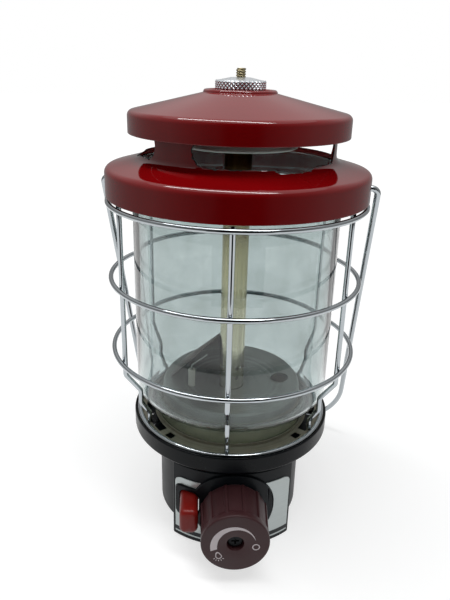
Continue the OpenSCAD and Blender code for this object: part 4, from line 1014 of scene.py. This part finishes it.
lit = {"Specular_IOR_Level": 0.0, "Emission_Color": (1, 1, 1, 1)}
sweep_white, tree, shader, place = new_finish("white_sweep", Roughness=0.9, **lit)
paper_m = 1 / 6
paper = add(tree, "ShaderNodeTexNoise", {"Scale": 1 / paper_m}, {"Vector": place})
white = add(tree, "ShaderNodeMix", {6: linear("#b2b3b3"), 7: linear("#b8b9b9")}, {0: paper}, data_type="RGBA")
link(tree, shader, {"Base Color": white.outputs[2]})
lift = add(tree, "ShaderNodeMapRange", {"From Min": 0.3, "From Max": 1.8, "To Min": 0.64, "To Max": 0.93},
           {"Value": from_axis(tree, place)})
glow = add(tree, "ShaderNodeMath", links={0: seen_straight(tree), 1: lift}, operation="MULTIPLY")
link(tree, shader, {"Emission Strength": glow})
mesh = bpy.data.meshes.new("sweep")
reach = 6.0
mesh.from_pydata([(-reach, -reach, 0), (reach, -reach, 0), (reach, reach, 0), (-reach, reach, 0)], [],
                 [(0, 1, 2, 3)])
sweep = new_piece("sweep", mesh, sweep_white)

card_grey, tree, shader, place = new_finish("shaded_card", Roughness=0.9, **lit)
shader.inputs["Base Color"].default_value = (0, 0, 0, 1)
card_r = 0.95
card_h = 1.25
split = add(tree, "ShaderNodeSeparateXYZ", links={0: place})
high = add(tree, "ShaderNodeMapRange", {"From Min": 0.35, "From Max": 0.8}, {"Value": split.outputs["Z"]},
           interpolation_type="SMOOTHSTEP")
behind = add(tree, "ShaderNodeMapRange",
             {"From Min": -0.3 * card_r, "From Max": card_r, "To Min": 0.05, "To Max": 0.4},
             {"Value": split.outputs["Y"]})
aside = add(tree, "ShaderNodeMapRange",
            {"From Min": -card_r, "From Max": -0.3 * card_r, "To Min": 0.03, "To Max": 0.3},
            {"Value": split.outputs["Y"]})
shade = add(tree, "ShaderNodeMath", links={0: high, 1: behind, 2: aside}, operation="MULTIPLY_ADD")
link(tree, shader, {"Emission Strength": shade})
card = upright("card", card_r, card_h, [math.tau * k / 96 for k in range(96)], True, card_grey)
cloth_r = 0.5
cloth_half = 26
cloth_h = 0.7
black_cloth, tree, shader, place = new_finish("black_cloth", Roughness=0.95, **lit)
shader.inputs["Base Color"].default_value = linear("#0c0d0e")
split = add(tree, "ShaderNodeSeparateXYZ", links={0: place})
aside = add(tree, "ShaderNodeMath", links={0: split.outputs["X"]}, operation="ABSOLUTE")
hem = add(tree, "ShaderNodeMapRange", {"From Min": 0.1, "From Max": 0.22, "To Max": 0.07},
          {"Value": aside}, interpolation_type="SMOOTHSTEP")
link(tree, shader, {"Emission Strength": hem})
turns = [math.radians(cloth_half * (k / 12 - 1)) for k in range(25)]
cloth = upright("cloth", cloth_r, cloth_h, turns, False, black_cloth)
for part in (card, cloth):
    for rays in ("camera", "diffuse", "transmission", "shadow"):
        setattr(part, "visible_" + rays, False)

lamp_data = bpy.data.lights.new("softbox", "AREA")
lamp_data.shape = "RECTANGLE"
lamp_data.size = 1.5
lamp_data.size_y = 0.24
lamp_data.energy = 15.0
lamp_obj = bpy.data.objects.new("softbox", lamp_data)
scene.collection.objects.link(lamp_obj)
lamp_obj.location = (-0.1, -0.14, 1.4)
lamp_obj.rotation_euler = (Vector((0, 0, 0.15)) - lamp_obj.location).to_track_quat("-Z", "Y").to_euler()

camera_data = bpy.data.cameras.new("camera")
camera_data.sensor_width = 36.0
camera_data.lens = 35.08
camera = bpy.data.objects.new("camera", camera_data)
scene.collection.objects.link(camera)
stand = Vector((-0.0227, -0.3705, 0.3038))
ahead = Vector((0.0418, 0.9281, -0.3701)).normalized()
level_right = ahead.cross(Vector((0, 0, 1))).normalized()
level_up = level_right.cross(ahead)
roll = math.radians(1.485)
right = level_right * math.cos(roll) + level_up * math.sin(roll)
up = level_up * math.cos(roll) - level_right * math.sin(roll)
camera.matrix_world = Matrix.Translation(stand) @ Matrix((right, up, -ahead)).transposed().to_4x4()
scene.camera = camera
